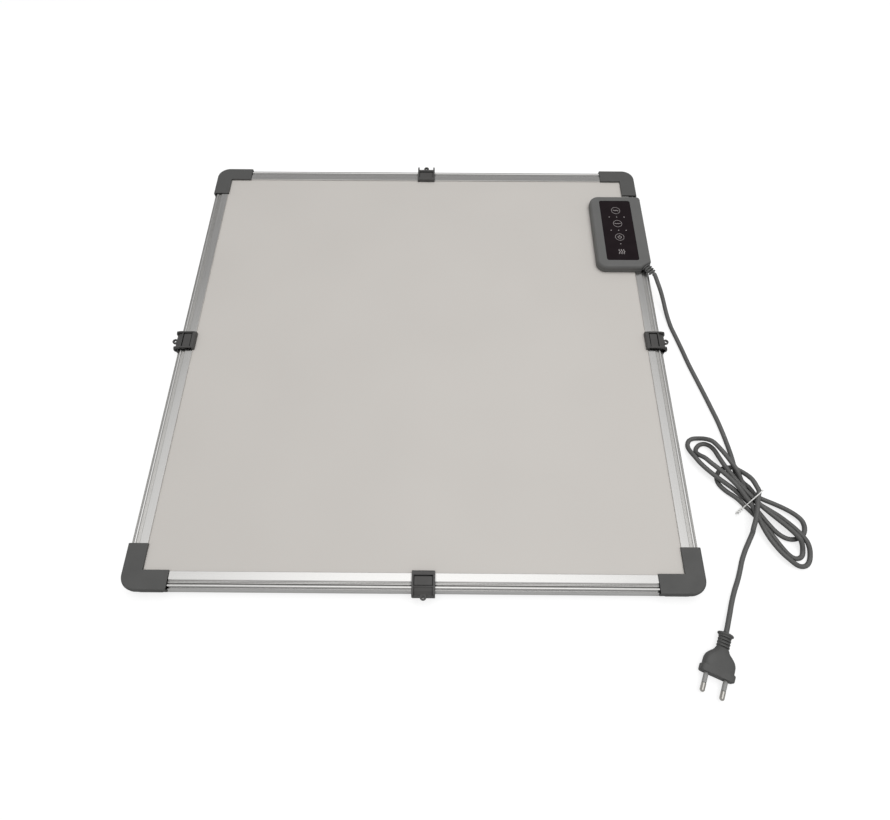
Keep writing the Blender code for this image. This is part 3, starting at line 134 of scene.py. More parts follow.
# %% [markdown]
# ## The route of the mains lead
#
# A lead has one fixed length, so its route is settled before anything is drawn. It leaves the
# strain relief at the controller's cut corner, drops to the floor, runs to a hank of six
# lobes held by a wire tie, and goes on to the plug. The free runs are given by a few points
# and the hank by a formula: each lobe is a leg out from the tie, a round tip and a leg back.
# The shares of the lobes and of the waist come from a fit to the picture, were rounded and in
# places changed. The free runs were measured along the lead in the picture.

# %% Route of the two free runs
CORD_DIAMETER = 0.0052
TIE_THICKNESS = 0.0014
LEAD_ROUTE = (
    (0.0079, -0.2055, 0.0208), (0.0112, -0.2160, 0.0170), (0.0145, -0.2260, 0.0115),
    (0.0172, -0.2380, 0.0066), (0.0196, -0.2500, 0.0036), (0.0220, -0.2630, 0.0026),
    (0.0262, -0.2800, 0.0026), (0.0305, -0.2980, 0.0026), (0.0350, -0.3180, 0.0026),
    (0.0410, -0.3400, 0.0026), (0.0470, -0.3620, 0.0026), (0.0522, -0.3820, 0.0026),
    (0.0560, -0.3970, 0.0026), (0.0594, -0.4150, 0.0026), (0.0618, -0.4310, 0.0026),
    (0.0634, -0.4460, 0.0026),
)
TAIL_ROUTE = (
    (0.0652, -0.5335, 0.0082), (0.0612, -0.5418, 0.0045), (0.0560, -0.5510, 0.0027),
    (0.0501, -0.5622, 0.0026), (0.0457, -0.5729, 0.0026), (0.0410, -0.5834, 0.0026),
    (0.0356, -0.5937, 0.0028), (0.0300, -0.6055, 0.0036), (0.0249, -0.6175, 0.0050),
    (0.0203, -0.6280, 0.0064),
)
print(len(LEAD_ROUTE), "points to the hank and", len(TAIL_ROUTE), "to the plug")

# %% Shape of the hank
HANK_OFFSET = (0.0720, -0.4965)
HANK_WAIST = FAR_RIGHT_CORNER.xy + Vector(HANK_OFFSET)
HANK_ANGLE = math.radians(-51)
HANK_REACH = 0.092
HANK_HALF_WIDTH = 0.017
STRAND_PITCH = 0.0058
LAYER_STEP = 0.0064
LOBE_STEPS = 24
LOBE_POWER = 1.5
TIP_SHARE = 0.8
# Side, length, half width, lean, fullness of both legs, their layers, and where each climbs
LOBE_SHARES = (
    (1, 0.66, 0.80, 0.84, (0.9, 1.7), (0.4, 0.1), ((0, 0.35), (0, 0.35))),
    (-1, 1.00, 0.78, 0.31, (1.0, 1.0), (1.0, 1.8), ((0, 0.30), (0.10, 0.38))),
    (1, 0.91, 0.84, -0.45, (1.1, 0.5), (0.9, 0.7), ((0, 0.40), (0.1, 0.5))),
    (-1, 0.88, 0.60, 0.44, (4.0, 4.0), (1.9, 0.6), ((0, 0.30), (0.3, 0.85))),
    (1, 0.81, 0.50, -0.34, (1.8, 3.2), (1.3, 0.2), ((0, 0.6), (0.1, 0.52))),
    (-1, 0.49, 0.64, 0.25, (2.0, 0.6), (0, 0.85), ((0.25, 0.5), (0.25, 0.8))),
)
# Where each strand crosses the tied waist: pitches to the side, and its layer
WAIST_SHARES = ((1.75, 0), (-0.34, 0), (0.70, 0), (-0.70, 1), (0.32, 1), (-1.52, 0), (1.50, 2))
ENTRY_SHARES = ((-0.277, 0.800), (-0.200, 0.740), (-0.120, 0.710))
EXIT_SHARES = ((0.008, 0.30), (0.060, -0.12), (0.120, -0.56), (0.180, -1.02), (0.215, -1.33))
EXIT_DROP_SHARES = (0, 0, 0.1, 0.4, 0.7)
TIE_LIFT = TIE_THICKNESS + GAP


def smoothstep(share):
    """Ease from 0 to 1 as share does."""
    held = min(max(share, 0), 1)
    return held * held * (3 - 2 * held)


def layer_height(layer, lift=0.0):
    """Height of a strand's middle in a layer of the hank."""
    return lift + CORD_DIAMETER / 2 + layer * LAYER_STEP


def lobe_points(index):
    """One lobe of the hank, from the waist out to its tip and back."""
    side, length_share, width_share, lean_share, fullness, legs, climbs = LOBE_SHARES[index]
    points = []
    for k in range(LOBE_STEPS):
        turn = math.pi * k / LOBE_STEPS
        along = math.sin(turn) ** LOBE_POWER
        end = 0 if k <= LOBE_STEPS / 2 else 1
        full = fullness[end]
        widest = 2 * ((full + 1) / (full + 2)) ** ((full + 1) / 2) / math.sqrt(full + 2)
        bulge = side * width_share * math.sin(2 * turn) * math.sin(turn) ** full / widest
        slot, layer = WAIST_SHARES[index + end]
        across = slot * STRAND_PITCH * math.cos(turn) ** 2
        across += HANK_HALF_WIDTH * (lean_share * math.sin(turn) ** 2 + bulge)
        first, last = climbs[end]
        waist = layer_height(layer, TIE_LIFT)
        rise = smoothstep((along - first) / (last - first))
        height = waist + (layer_height(legs[end]) - waist) * rise
        height += (layer_height(0) - height) * smoothstep((along - TIP_SHARE) / (1 - TIP_SHARE))
        points.append((side * HANK_REACH * length_share * along, across, height))
    return points


def hank_place(along, across, height):
    """A point of the hank in the model's frame."""
    turned = Matrix.Rotation(HANK_ANGLE, 2) @ Vector((along, across))
    return Vector((*(HANK_WAIST + turned), height))


def hank_points():
    """The tied turns of the lead as one line."""
    line = []
    entry_heights = (layer_height(0), layer_height(0), layer_height(0, TIE_LIFT))
    for (along, across), height in zip(ENTRY_SHARES, entry_heights):
        line.append((HANK_REACH * along, HANK_HALF_WIDTH * across, height))
    for index in range(len(LOBE_SHARES)):
        line += lobe_points(index)
    for (along, across), share in zip(EXIT_SHARES, EXIT_DROP_SHARES):
        height = layer_height(2, TIE_LIFT) - LAYER_STEP * share
        line.append((HANK_REACH * along, HANK_HALF_WIDTH * across, height))
    return [hank_place(*point) for point in line]


hank = hank_points()
print("the hank has", len(LOBE_SHARES), "lobes in", len(hank), "points")

# %% [markdown]
# ## The ends of the lead
#
# The lead starts at the tip of the strain relief and ends in the plug's collar. Both are
# worked out from the sizes of those pieces, so that the lead always meets them.

# %% Places of the strain relief and the plug
CASE_WIDTH = 0.071
CASE_LENGTH = 0.1265
CASE_FAR_GAP = 0.0580
CASE_OVERHANG = 0.002
CASE_LOW = RAIL_TOP + GAP
CASE_HIGH = CASE_LOW + 0.010
CASE_PARTING = CASE_LOW + 0.0047
CASE_RIGHT = PANEL_HALF + CASE_OVERHANG
CASE_LEFT = CASE_RIGHT - CASE_WIDTH
CASE_FAR = PANEL_HALF - CASE_FAR_GAP
CASE_NEAR = CASE_FAR - CASE_LENGTH
CUT_X = 0.0140
CUT_Y = 0.0098
RELIEF_LENGTH = 0.0145
RELIEF_ANGLE = math.radians(-55)
PLUG_ANGLE = math.radians(-113.8)
PLUG_LENGTH = 0.0440
PLUG_THICKNESS = 0.0137
PLUG_OFFSET = (-0.0014, -0.6773)

relief_start = Vector((CASE_RIGHT - CUT_X / 2, CASE_NEAR + CUT_Y / 2, CASE_PARTING))
relief_out = Vector((math.cos(RELIEF_ANGLE), math.sin(RELIEF_ANGLE), 0))
relief_tip = relief_start + relief_out * RELIEF_LENGTH
plug_out = Vector((math.cos(PLUG_ANGLE), math.sin(PLUG_ANGLE), 0))
plug_face = FAR_RIGHT_CORNER + Vector((*PLUG_OFFSET, PLUG_THICKNESS / 2))
plug_back = plug_face - plug_out * PLUG_LENGTH
print("relief tip", [round(v, 4) for v in relief_tip], "plug back", [round(v, 4) for v in plug_back])

# %% [markdown]
# ## One smooth line
#
# A real lead bends evenly, so the given points are joined by a curve that passes through each
# of them without a corner (a Catmull-Rom curve). It is then cut into equal short steps, which
# keeps the tube's rings evenly spaced, and no point may sink below the floor.

# %% The whole line of the lead
LINE_STEP = 0.0022
CURVE_STEPS = 16


def smooth_line(points, spacing):
    """Points at an even spacing on a smooth curve through the given ones."""
    knots = [Vector(p) for p in points]
    knots = [knots[0] * 2 - knots[1], *knots, knots[-1] * 2 - knots[-2]]
    dense = []
    for a, b, c, d in zip(knots, knots[1:], knots[2:], knots[3:]):
        for k in range(CURVE_STEPS):
            t = k / CURVE_STEPS
            dense.append(
                0.5 * ((2 * b) + (c - a) * t + (2 * a - 5 * b + 4 * c - d) * t * t
                       + (3 * b - a - 3 * c + d) * t * t * t)
            )
    dense.append(knots[-2])
    lengths = [0.0]
    for before, after in zip(dense, dense[1:]):
        lengths.append(lengths[-1] + (after - before).length)
    count = max(round(lengths[-1] / spacing), 1)
    even = []
    index = 0
    for k in range(count + 1):
        wanted = lengths[-1] * k / count
        while index < len(lengths) - 2 and lengths[index + 1] < wanted:
            index += 1
        span = lengths[index + 1] - lengths[index]
        even.append(dense[index].lerp(dense[index + 1], (wanted - lengths[index]) / span))
    return even


enter = (hank[1] - hank[0]).normalized()
leave = (hank[-1] - hank[-2]).normalized()
cord_line = smooth_line(
    [
        relief_tip,
        relief_tip + relief_out * CORD_DIAMETER / 2,
        *[FAR_RIGHT_CORNER + Vector(p) for p in LEAD_ROUTE],
        hank[0] - enter * CORD_DIAMETER,
        *hank,
        hank[-1] + leave * CORD_DIAMETER,
        *[FAR_RIGHT_CORNER + Vector(p) for p in TAIL_ROUTE],
        plug_back - plug_out * CORD_DIAMETER,
        plug_back,
    ],
    LINE_STEP,
)
for point in cord_line:
    point.z = max(point.z, CORD_DIAMETER / 2)

# %% [markdown]
# ## Colours and nodes
#
# A colour is written as the hex value that a screen shows. The renderer works with linear
# light, so one function turns the first into the second. A second function adds a node to a
# material with its settings, values and links, which keeps each finish short to read.

# %% Helpers for finishes
MM = 0.001
NOISE_RANGE = (0.3, 0.7)
OPEN_RANGE = (0.15, 0.75)
CREVICE_SAMPLES = 8


def srgb(code):
    """Linear colour of an sRGB hex value such as c6c2bd."""
    shares = [int(code[k:k + 2], 16) / 255 for k in (0, 2, 4)]
    linear = [s / 12.92 if s <= 0.04045 else ((s + 0.055) / 1.055) ** 2.4 for s in shares]
    return (*linear, 1)


def add_node(tree, kind, settings=None, values=None, links=None):
    """Add a node with its settings, its sockets' values and what is linked to them."""
    node = tree.nodes.new(kind)
    for name, value in (settings or {}).items():
        setattr(node, name, value)
    for socket, value in (values or {}).items():
        node.inputs[socket].default_value = value
    for socket, source in (links or {}).items():
        tree.links.new(source, node.inputs[socket])
    return node


def new_finish(name, **values):
    """A material with its node tree, its Principled shader and its object coordinates."""
    finish = bpy.data.materials.new(name)
    finish.use_nodes = True
    tree = finish.node_tree
    shader = tree.nodes["Principled BSDF"]
    for socket, value in values.items():
        shader.inputs[socket.replace("_", " ")].default_value = value
    place = add_node(tree, "ShaderNodeTexCoord").outputs["Object"]
    return finish, tree, shader, place


def grain(tree, place, size_mm, detail=2.0, stretch=(1, 1, 1)):
    """Noise whose patches are about size_mm across, longer where stretch is below 1."""
    scaled = add_node(tree, "ShaderNodeMapping", values={"Scale": stretch}, links={"Vector": place})
    return add_node(
        tree, "ShaderNodeTexNoise",
        values={"Scale": 1 / (size_mm * MM), "Detail": detail},
        links={"Vector": scaled.outputs["Vector"]},
    ).outputs["Fac"]


def between(tree, factor, low, high, known=NOISE_RANGE):
    """A value from low to high as factor goes through the range that it is known to have."""
    return add_node(
        tree, "ShaderNodeMapRange",
        values={"From Min": known[0], "From Max": known[1], "To Min": low, "To Max": high},
        links={"Value": factor},
    ).outputs["Result"]


def two_tone(tree, factor, first, second):
    """A colour between two hex values as factor goes through the range of a noise."""
    ramp = add_node(tree, "ShaderNodeValToRGB", links={"Fac": factor})
    for element, position, code in zip(ramp.color_ramp.elements, NOISE_RANGE, (first, second)):
        element.position = position
        element.color = srgb(code)
    return ramp.outputs["Color"]


def painted_crevice_shade(tree, colour, reach_mm, painted_shade_share):
    """Paint shade into a colour: darken it down to a share of itself in crevices narrower than
    reach_mm.
    """
    open_share = add_node(
        tree, "ShaderNodeAmbientOcclusion", settings={"samples": CREVICE_SAMPLES},
        values={"Distance": reach_mm * MM},
    ).outputs["AO"]
    kept = between(tree, open_share, painted_shade_share, 1.0, OPEN_RANGE)
    return add_node(
        tree, "ShaderNodeVectorMath", settings={"operation": "SCALE"},
        links={"Vector": colour, "Scale": kept},
    ).outputs["Vector"]


def relief_bump(tree, shader, height, distance_mm):
    """Let a height pattern tilt the surface, as deep as distance_mm."""
    bump = add_node(
        tree, "ShaderNodeBump",
        values={"Distance": distance_mm * MM, "Strength": 1.0}, links={"Height": height},
    )
    tree.links.new(bump.outputs["Normal"], shader.inputs["Normal"])


def dress(tree, shader, colour, pattern, roughness):
    """Link a colour, and let a pattern vary the roughness between two values."""
    tree.links.new(colour, shader.inputs["Base Color"])
    tree.links.new(between(tree, pattern, *roughness), shader.inputs["Roughness"])


print("middle grey of the casing, linear:", [round(v, 3) for v in srgb("6b6b69")[:3]])

# %% [markdown]
# ## Coated sheet
#
# The heated face is sheet steel with a baked powder coating. Powder melts into a fine orange
# peel, a fraction of a millimetre across, and leaves a soft broad sheen without a mirror
# image. The tone drifts by a hair over a hand's width, so a wide faint noise is added.

# %% Powder coating of the heated face
DRIFT_MM = 110
PEEL_MM = 0.9


def powder_coating(name, light, dark, roughness):
    """Baked powder on sheet metal."""
    finish, tree, shader, place = new_finish(name, IOR=1.5)
    tone = two_tone(tree, grain(tree, place, DRIFT_MM, detail=1.0), dark, light)
    peel = grain(tree, place, PEEL_MM)
    dress(tree, shader, tone, peel, (roughness - 0.04, roughness + 0.04))
    relief_bump(tree, shader, peel, 0.012)
    return finish


front_coating = powder_coating("powder_coated_face", "c7c3be", "c5c1bc", 0.48)
back_coating = powder_coating("powder_coated_back", "cbcac6", "c4c3bf", 0.55)
nodes["front_sheet"].data.materials[0] = front_coating
nodes["back_sheet"].data.materials[0] = back_coating
print("face and back sheet are coated")

# %% [markdown]
# ## Anodised aluminium
#
# The rails are extruded and satin anodised. Extruding drags fine die lines along the length,
# so the roughness and a very shallow bump are streaks: a noise that is hundreds of times
# longer along the rail than across. Rails along X and along Y need the streaks turned. Shade
# is painted into the colour in their crevices too: deep on the rails along X, faint on those
# along Y.

# %% Satin anodised aluminium, for rails along either axis
DIE_LINE_MM = 0.35
DIE_LINE_STRETCH = 0.004


def anodised_aluminium(name, axis, painted_shade_share):
    """Extruded and satin anodised, die lines along one axis, with painted shade in its crevices."""
    finish, tree, shader, place = new_finish(name, Metallic=1.0)
    stretch = tuple(DIE_LINE_STRETCH if k == axis else 1 for k in range(3))
    streaks = grain(tree, place, DIE_LINE_MM, detail=3.0, stretch=stretch)
    colour = painted_crevice_shade(tree, two_tone(tree, streaks, "dedddb", "e6e5e3"), 4, painted_shade_share)
    dress(tree, shader, colour, streaks, (0.16, 0.26))
    relief_bump(tree, shader, streaks, 0.006)
    return finish


# The last value is how dark the painted shade in the grooves gets: deep along X, faint along Y
rail_finishes = [
    anodised_aluminium("satin_anodised_x", 0, 0.1), anodised_aluminium("satin_anodised_y", 1, 0.9),
]
print("die lines are", DIE_LINE_MM, "mm wide")

# %% [markdown]
# ## Moulded plastics
#
# Caps, clips and casing are injection moulded from tools with a fine eroded texture, and the
# lead and plug are soft PVC. All are the same idea at other grain sizes: a base colour that
# hardly varies, a medium sheen, and a shallow pebbled grain. A wide noise lets some patches
# shine a little more than others. Shade is painted into the colour in crevices, almost black
# in those of the clips and the plug.

# %% Moulded plastics and PVC
PATCH_MM = 18


def moulded_plastic(name, colour, shade, roughness, grain_mm, depth_mm, painted_shade_share=0.3):
    """Plastic out of a textured tool, with painted shade in its crevices."""
    finish, tree, shader, place = new_finish(name, IOR=1.5)
    patches = grain(tree, place, PATCH_MM)
    toned = painted_crevice_shade(tree, two_tone(tree, patches, colour, shade), 3, painted_shade_share)
    dress(tree, shader, toned, patches, (roughness - 0.05, roughness + 0.05))
    relief_bump(tree, shader, grain(tree, place, grain_mm), depth_mm)
    return finish


# The last value, where given, is how dark the painted shade in crevices gets
cap_plastic = moulded_plastic("textured_abs_cap", "515150", "4f4f4e", 0.55, 0.5, 0.015)
clip_plastic = moulded_plastic("textured_nylon_clip", "4a4948", "474645", 0.52, 0.4, 0.012, 0.05)
case_plastic = moulded_plastic("textured_abs_case", "636362", "616160", 0.55, 0.5, 0.015)
cord_sheath = moulded_plastic("soft_pvc_sheath", "5c5c5b", "595958", 0.48, 0.7, 0.020)
plug_plastic = moulded_plastic("soft_pvc_plug", "525251", "4f4f4e", 0.52, 0.5, 0.020, 0.05)
sleeve_plastic = moulded_plastic("nylon_pin_sleeve", "9a9a98", "929290", 0.42, 0.4, 0.010)
tie_plastic = moulded_plastic("polythene_tie", "f0f0ee", "e6e6e3", 0.35, 0.8, 0.020)
print("seven plastics")

# %% [markdown]
# ## The touch lens and what is printed on it
#
# The lens is a thin acrylic plate, painted black from behind, so it is glossy with a black
# that is almost even. The marks are screen printed in a pale grey ink that is a little rough.

# %% Acrylic lens and ink
lens_black, tree, shader, place = new_finish("back_painted_acrylic", IOR=1.49, Specular_IOR_Level=0.15)
smears = grain(tree, place, 14, detail=3.0)
dress(tree, shader, two_tone(tree, smears, "1b1417", "1f181b"), smears, (0.07, 0.16))
relief_bump(tree, shader, smears, 0.004)

print_ink, tree, shader, place = new_finish("screen_print_ink", IOR=1.45)
dots = grain(tree, place, 0.3)
dress(tree, shader, two_tone(tree, dots, "8c8686", "989292"), dots, (0.40, 0.55))
print("lens and ink")

# %% [markdown]
# ## Plated metal
#
# The pins are turned from brass and nickel plated. Turning leaves rings round the pin, which
# a noise squeezed along the pin's own direction gives. The case screws are zinc plated steel.

# %% Nickel plated pins and zinc plated screws
def plated_metal(name, colour, shade, roughness, size_mm):
    """Metal with a thin bright plating over fine tool marks."""
    finish, tree, shader, place = new_finish(name, Metallic=1.0)
    marks = grain(tree, place, size_mm, detail=3.0, stretch=(0.4, 1, 0.4))
    tone = two_tone(tree, marks, colour, shade)
    dress(tree, shader, tone, marks, (roughness - 0.05, roughness + 0.06))
    relief_bump(tree, shader, marks, 0.004)
    return finish


pin_metal = plated_metal("nickel_plated_brass", "d8d5cf", "c9c6c0", 0.20, 0.5)
screw_steel = plated_metal("zinc_plated_steel", "b9bbbd", "a6a8ab", 0.32, 0.6)
print("two plated metals")

# %% [markdown]
# ## What is inside
#
# The panel is a sandwich: behind the coated face lie a carbon heating film with its copper
# bars, a foam board and a back sheet. The controller holds a circuit board with a switch, a
# capacitor, terminals and lights. They don't show from outside, but each gets the finish of
# its real material, so that the parts look right when they are taken out and seen alone.

# %% Finishes of the inner parts
def banded(name, colour, shade, roughness, band_mm, axis, metallic=0.0):
    """A finish with even lines across one axis, such as printed film or rolled metal."""
    finish, tree, shader, place = new_finish(name, Metallic=metallic)
    wave = add_node(
        tree, "ShaderNodeTexWave",
        settings={"bands_direction": "XYZ"[axis]},
        values={"Scale": math.pi / (10 * band_mm * MM), "Distortion": 0.6, "Detail": 2.0},
        links={"Vector": place},
    ).outputs["Fac"]
    tone = two_tone(tree, wave, colour, shade)
    dress(tree, shader, tone, wave, (roughness - 0.05, roughness + 0.05))
    relief_bump(tree, shader, wave, 0.01)
    return finish


def foamed(name, colour, shade, cell_mm):
    """Foam with open cells at its surface."""
    finish, tree, shader, place = new_finish(name, Roughness=0.9)
    cells = add_node(
        tree, "ShaderNodeTexVoronoi",
        values={"Scale": 1 / (cell_mm * MM)}, links={"Vector": place},
    ).outputs["Distance"]
    tree.links.new(two_tone(tree, cells, shade, colour), shader.inputs["Base Color"])
    relief_bump(tree, shader, cells, cell_mm / 4)
    return finish


SHEATHED = (
    "heater_lead_feed", "heater_lead_return", "temperature_sensor", "mains_core_live",
    "mains_core_neutral",
)
INNER_FINISHES = (
    (["heating_film"], banded("printed_carbon_film", "242424", "1a1a1a", 0.5, 12, 0)),
    (["busbar_feed", "busbar_return"],
     banded("rolled_copper_strip", "c98a63", "b97a55", 0.34, 0.8, 0, metallic=1.0)),
    (["insulation_core"], foamed("polystyrene_core", "e3dfd0", "d3cdbb", 2.5)),
    (["adhesive_pad"], foamed("foam_tape", "3f3f3f", "343434", 0.8)),
    (["circuit_board"], banded("glass_fibre_board", "1d6b3c", "1a5f36", 0.38, 2.4, 1)),
    (["terminal_block"],
     moulded_plastic("nylon_terminals", "3f9c55", "388f4d", 0.45, 0.4, 0.01)),
    (["power_switch", "filter_capacitor"],
     moulded_plastic("epoxy_package", "2a2a2b", "242425", 0.42, 0.3, 0.01)),
    ([f"indicator_light_{k}" for k in range(1, 8)],
     moulded_plastic("clear_epoxy_light", "e6e6e4", "dcdcda", 0.25, 0.4, 0.004)),
    (SHEATHED, moulded_plastic("silicone_sheath", "a83a2c", "9c3428", 0.5, 0.4, 0.01)),
    ([f"case_screw_{k}" for k in range(1, 5)], screw_steel),
    (["controller_base"], case_plastic),
)
for names, finish in INNER_FINISHES:
    for name in names:
        nodes[name].data.materials[0] = finish
print(len(INNER_FINISHES), "finishes on the parts inside")

# %% [markdown]
# ## Helpers for shapes
#
# Every new piece starts from a few vertices or a ready-made circle, and is pushed, inset and
# bevelled from there. A piece is then closed, put into the scene and tied to the body that it
# moves with, and the imported parts that it stands for are hidden.

# %% Helpers for shapes
MERGE_DISTANCE = 1e-6
SMOOTH_DEGREES = 32
CRISP_DEGREES = 60


def new_verts(pushed):
    """The vertices that an extrusion has just made."""
    return [item for item in pushed["geom"] if isinstance(item, bmesh.types.BMVert)]


def soften(shape, edges, width, steps=2):
    """Round some edges, as a moulding tool or a die would."""
    bmesh.ops.bevel(
        shape, geom=list(edges), offset=width, segments=steps, profile=0.5,
        affect="EDGES", material=-1, clamp_overlap=True,
    )


def edges_at(shape, height):
    """Edges that lie level at a height."""
    return [e for e in shape.edges if all(abs(v.co.z - height) < MERGE_DISTANCE for v in e.verts)]


def upright_edges(shape, x, y):
    """Edges that stand over a point of the plan."""
    return [
        e for e in shape.edges
        if all((v.co.xy - Vector((x, y))).length < MERGE_DISTANCE for v in e.verts)
    ]


def crisp_edges(shape):
    """Edges where two faces meet at a strong angle."""
    return [e for e in shape.edges if e.calc_face_angle(0) > math.radians(CRISP_DEGREES)]


def push(shape, outline, vector):
    """Make a face from an outline of points and push it along a vector into a solid."""
    face = shape.faces.new([shape.verts.new(point) for point in outline])
    pushed = bmesh.ops.extrude_face_region(shape, geom=[face])
    bmesh.ops.translate(shape, verts=new_verts(pushed), vec=vector)
    bmesh.ops.recalc_face_normals(shape, faces=shape.faces)


def box(low, high):
    """A block between two corners, as a bmesh."""
    shape = bmesh.new()
    bmesh.ops.create_cube(shape, size=1)
    size = Vector(high) - Vector(low)
    middle = (Vector(high) + Vector(low)) / 2
    bmesh.ops.scale(shape, vec=size, verts=shape.verts)
    bmesh.ops.translate(shape, vec=middle, verts=shape.verts)
    return shape


def disc_rod(place, low, high, diameter, sides=32):
    """An upright round rod, as a bmesh."""
    shape = bmesh.new()
    bmesh.ops.create_cone(
        shape, cap_ends=True, segments=sides, radius1=diameter / 2, radius2=diameter / 2,
        depth=high - low,
    )
    bmesh.ops.translate(shape, vec=(place[0], place[1], (low + high) / 2), verts=shape.verts)
    return shape


def rods(places, low, high, diameter):
    """One upright rod at each place."""
    return [disc_rod(place, low, high, diameter) for place in places]


def to_mesh(shape, name):
    """Close a bmesh into a mesh with its faces pointing out."""
    bmesh.ops.remove_doubles(shape, verts=shape.verts, dist=MERGE_DISTANCE)
    bmesh.ops.recalc_face_normals(shape, faces=shape.faces)
    mesh = bpy.data.meshes.new(name)
    shape.to_mesh(mesh)
    shape.free()
    return mesh


def carve(shape, cuts=(), joins=()):
    """Join other bmeshes to one and then cut others out of it."""
    holder = new_object("carved", to_mesh(shape, "carved"))
    tools = []
    for operation, parts in (("UNION", joins), ("DIFFERENCE", cuts)):
        for part in parts:
            tools.append(new_object("tool", to_mesh(part, "tool")))
            modifier = holder.modifiers.new(operation.title(), "BOOLEAN")
            modifier.operation = operation
            modifier.object = tools[-1]
    bpy.context.view_layer.update()
    graph = bpy.context.evaluated_depsgraph_get()
    carved = bpy.data.meshes.new_from_object(holder.evaluated_get(graph))
    result = bmesh.new()
    result.from_mesh(carved)
    for item in [holder, *tools]:
        used = item.data
        bpy.data.objects.remove(item, do_unlink=True)
        bpy.data.meshes.remove(used)
    bpy.data.meshes.remove(carved)
    return result


def add_piece(name, mesh, finish, body, stands_for=(), degrees=SMOOTH_DEGREES):
    """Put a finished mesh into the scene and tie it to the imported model."""
    mesh.name = name
    mesh.materials.clear()
    mesh.materials.append(finish)
    mesh.shade_smooth()
    mesh.set_sharp_from_angle(angle=math.radians(degrees))
    piece = new_object(name, mesh)
    even = piece.modifiers.new("even_normals", "WEIGHTED_NORMAL")
    even.keep_sharp = True
    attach(piece, body)
    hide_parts(*stands_for)
    print(name, "has", len(mesh.polygons), "faces")
    return piece


def side_frame(side, along=0.0):
    """The frame of one side: X along its rail, Y toward the panel, from the outer side."""
    turn = Matrix.Rotation(SIDES[side] * math.pi / 2, 4, "Z")
    return turn @ Matrix.Translation((along, -PANEL_HALF, 0))


print("helpers ready")

# %% [markdown]
# ## Rails
#
# A rail is an aluminium extrusion: one section pushed through a die. Its top has, from the
# outer side, a low rim, a deep groove, a rounded bead, a band of fine grooves and a flat lip
# over the panel. The section is drawn once, with its hollow chamber, and both outlines are pushed
# along the rail together, as the die does. The ends are then filled between the outlines.

# %% One section, four rails
RIM_WIDTH = 0.0008
RIM_DROP = 0.0020
RIM_SLOPE = 0.0008
GROOVE_WIDTH = 0.0018
GROOVE_DEPTH = 0.0036
BEAD_WIDTH = 0.0030
BEAD_HEIGHT = 0.0009
BEAD_STEPS = 10
BAND_WIDTH = 0.0043
BAND_DROP = 0.0005
FINE_GROOVES = 3
FINE_WIDTH = 0.0009
FINE_DEPTH = 0.0006
EDGE_ROUND = 0.0004
RAIL_HALF = PANEL_HALF - RAIL_FACE - RAIL_LIP - GAP
SHARP_RAIL_DEGREES = 40


def rail_outline():
    """The outer line of the section, as inset from the outer side and height."""
    bead_start = RIM_WIDTH + GROOVE_WIDTH
    band_start = bead_start + BEAD_WIDTH
    lip_start = band_start + BAND_WIDTH
    band = RAIL_TOP - BAND_DROP
    points = [
        (0, RAIL_LOW), (RAIL_FACE, RAIL_LOW), (RAIL_FACE, SLOT_LOW), (RAIL_WEB, SLOT_LOW),
        (RAIL_WEB, SLOT_HIGH), (RAIL_FACE, SLOT_HIGH), (RAIL_FACE, RAIL_TOP),
        (lip_start, RAIL_TOP), (lip_start - BAND_DROP, band),
    ]
    step = (BAND_WIDTH - BAND_DROP) / FINE_GROOVES
    for k in range(FINE_GROOVES):
        middle = lip_start - BAND_DROP - step * (k + 0.5)
        points += [
            (middle + FINE_WIDTH / 2, band), (middle, band - FINE_DEPTH),
            (middle - FINE_WIDTH / 2, band),
        ]
    for k in range(BEAD_STEPS + 1):
        angle = math.pi * k / BEAD_STEPS
        across = bead_start + BEAD_WIDTH / 2 * (1 + math.cos(angle))
        points.append((across, RAIL_TOP - BEAD_HEIGHT * (1 - math.sin(angle))))
    points += [
        (bead_start, RAIL_TOP - GROOVE_DEPTH), (RIM_WIDTH, RAIL_TOP - GROOVE_DEPTH),
        (RIM_WIDTH, RAIL_TOP - RIM_DROP), (0, RAIL_TOP - RIM_DROP - RIM_SLOPE),
    ]
    return points


def chamber_outline():
    """The hollow inside the rail."""
    low = RAIL_LOW + RAIL_WALL
    step = RAIL_TOP - GROOVE_DEPTH - RAIL_WALL
    inner = RIM_WIDTH + GROOVE_WIDTH + RAIL_WALL
    far = RAIL_WEB - RAIL_WALL
    return [
        (RAIL_WALL, low), (far, low), (far, SLOT_HIGH), (inner, SLOT_HIGH), (inner, step),
        (RAIL_WALL, step),
    ]


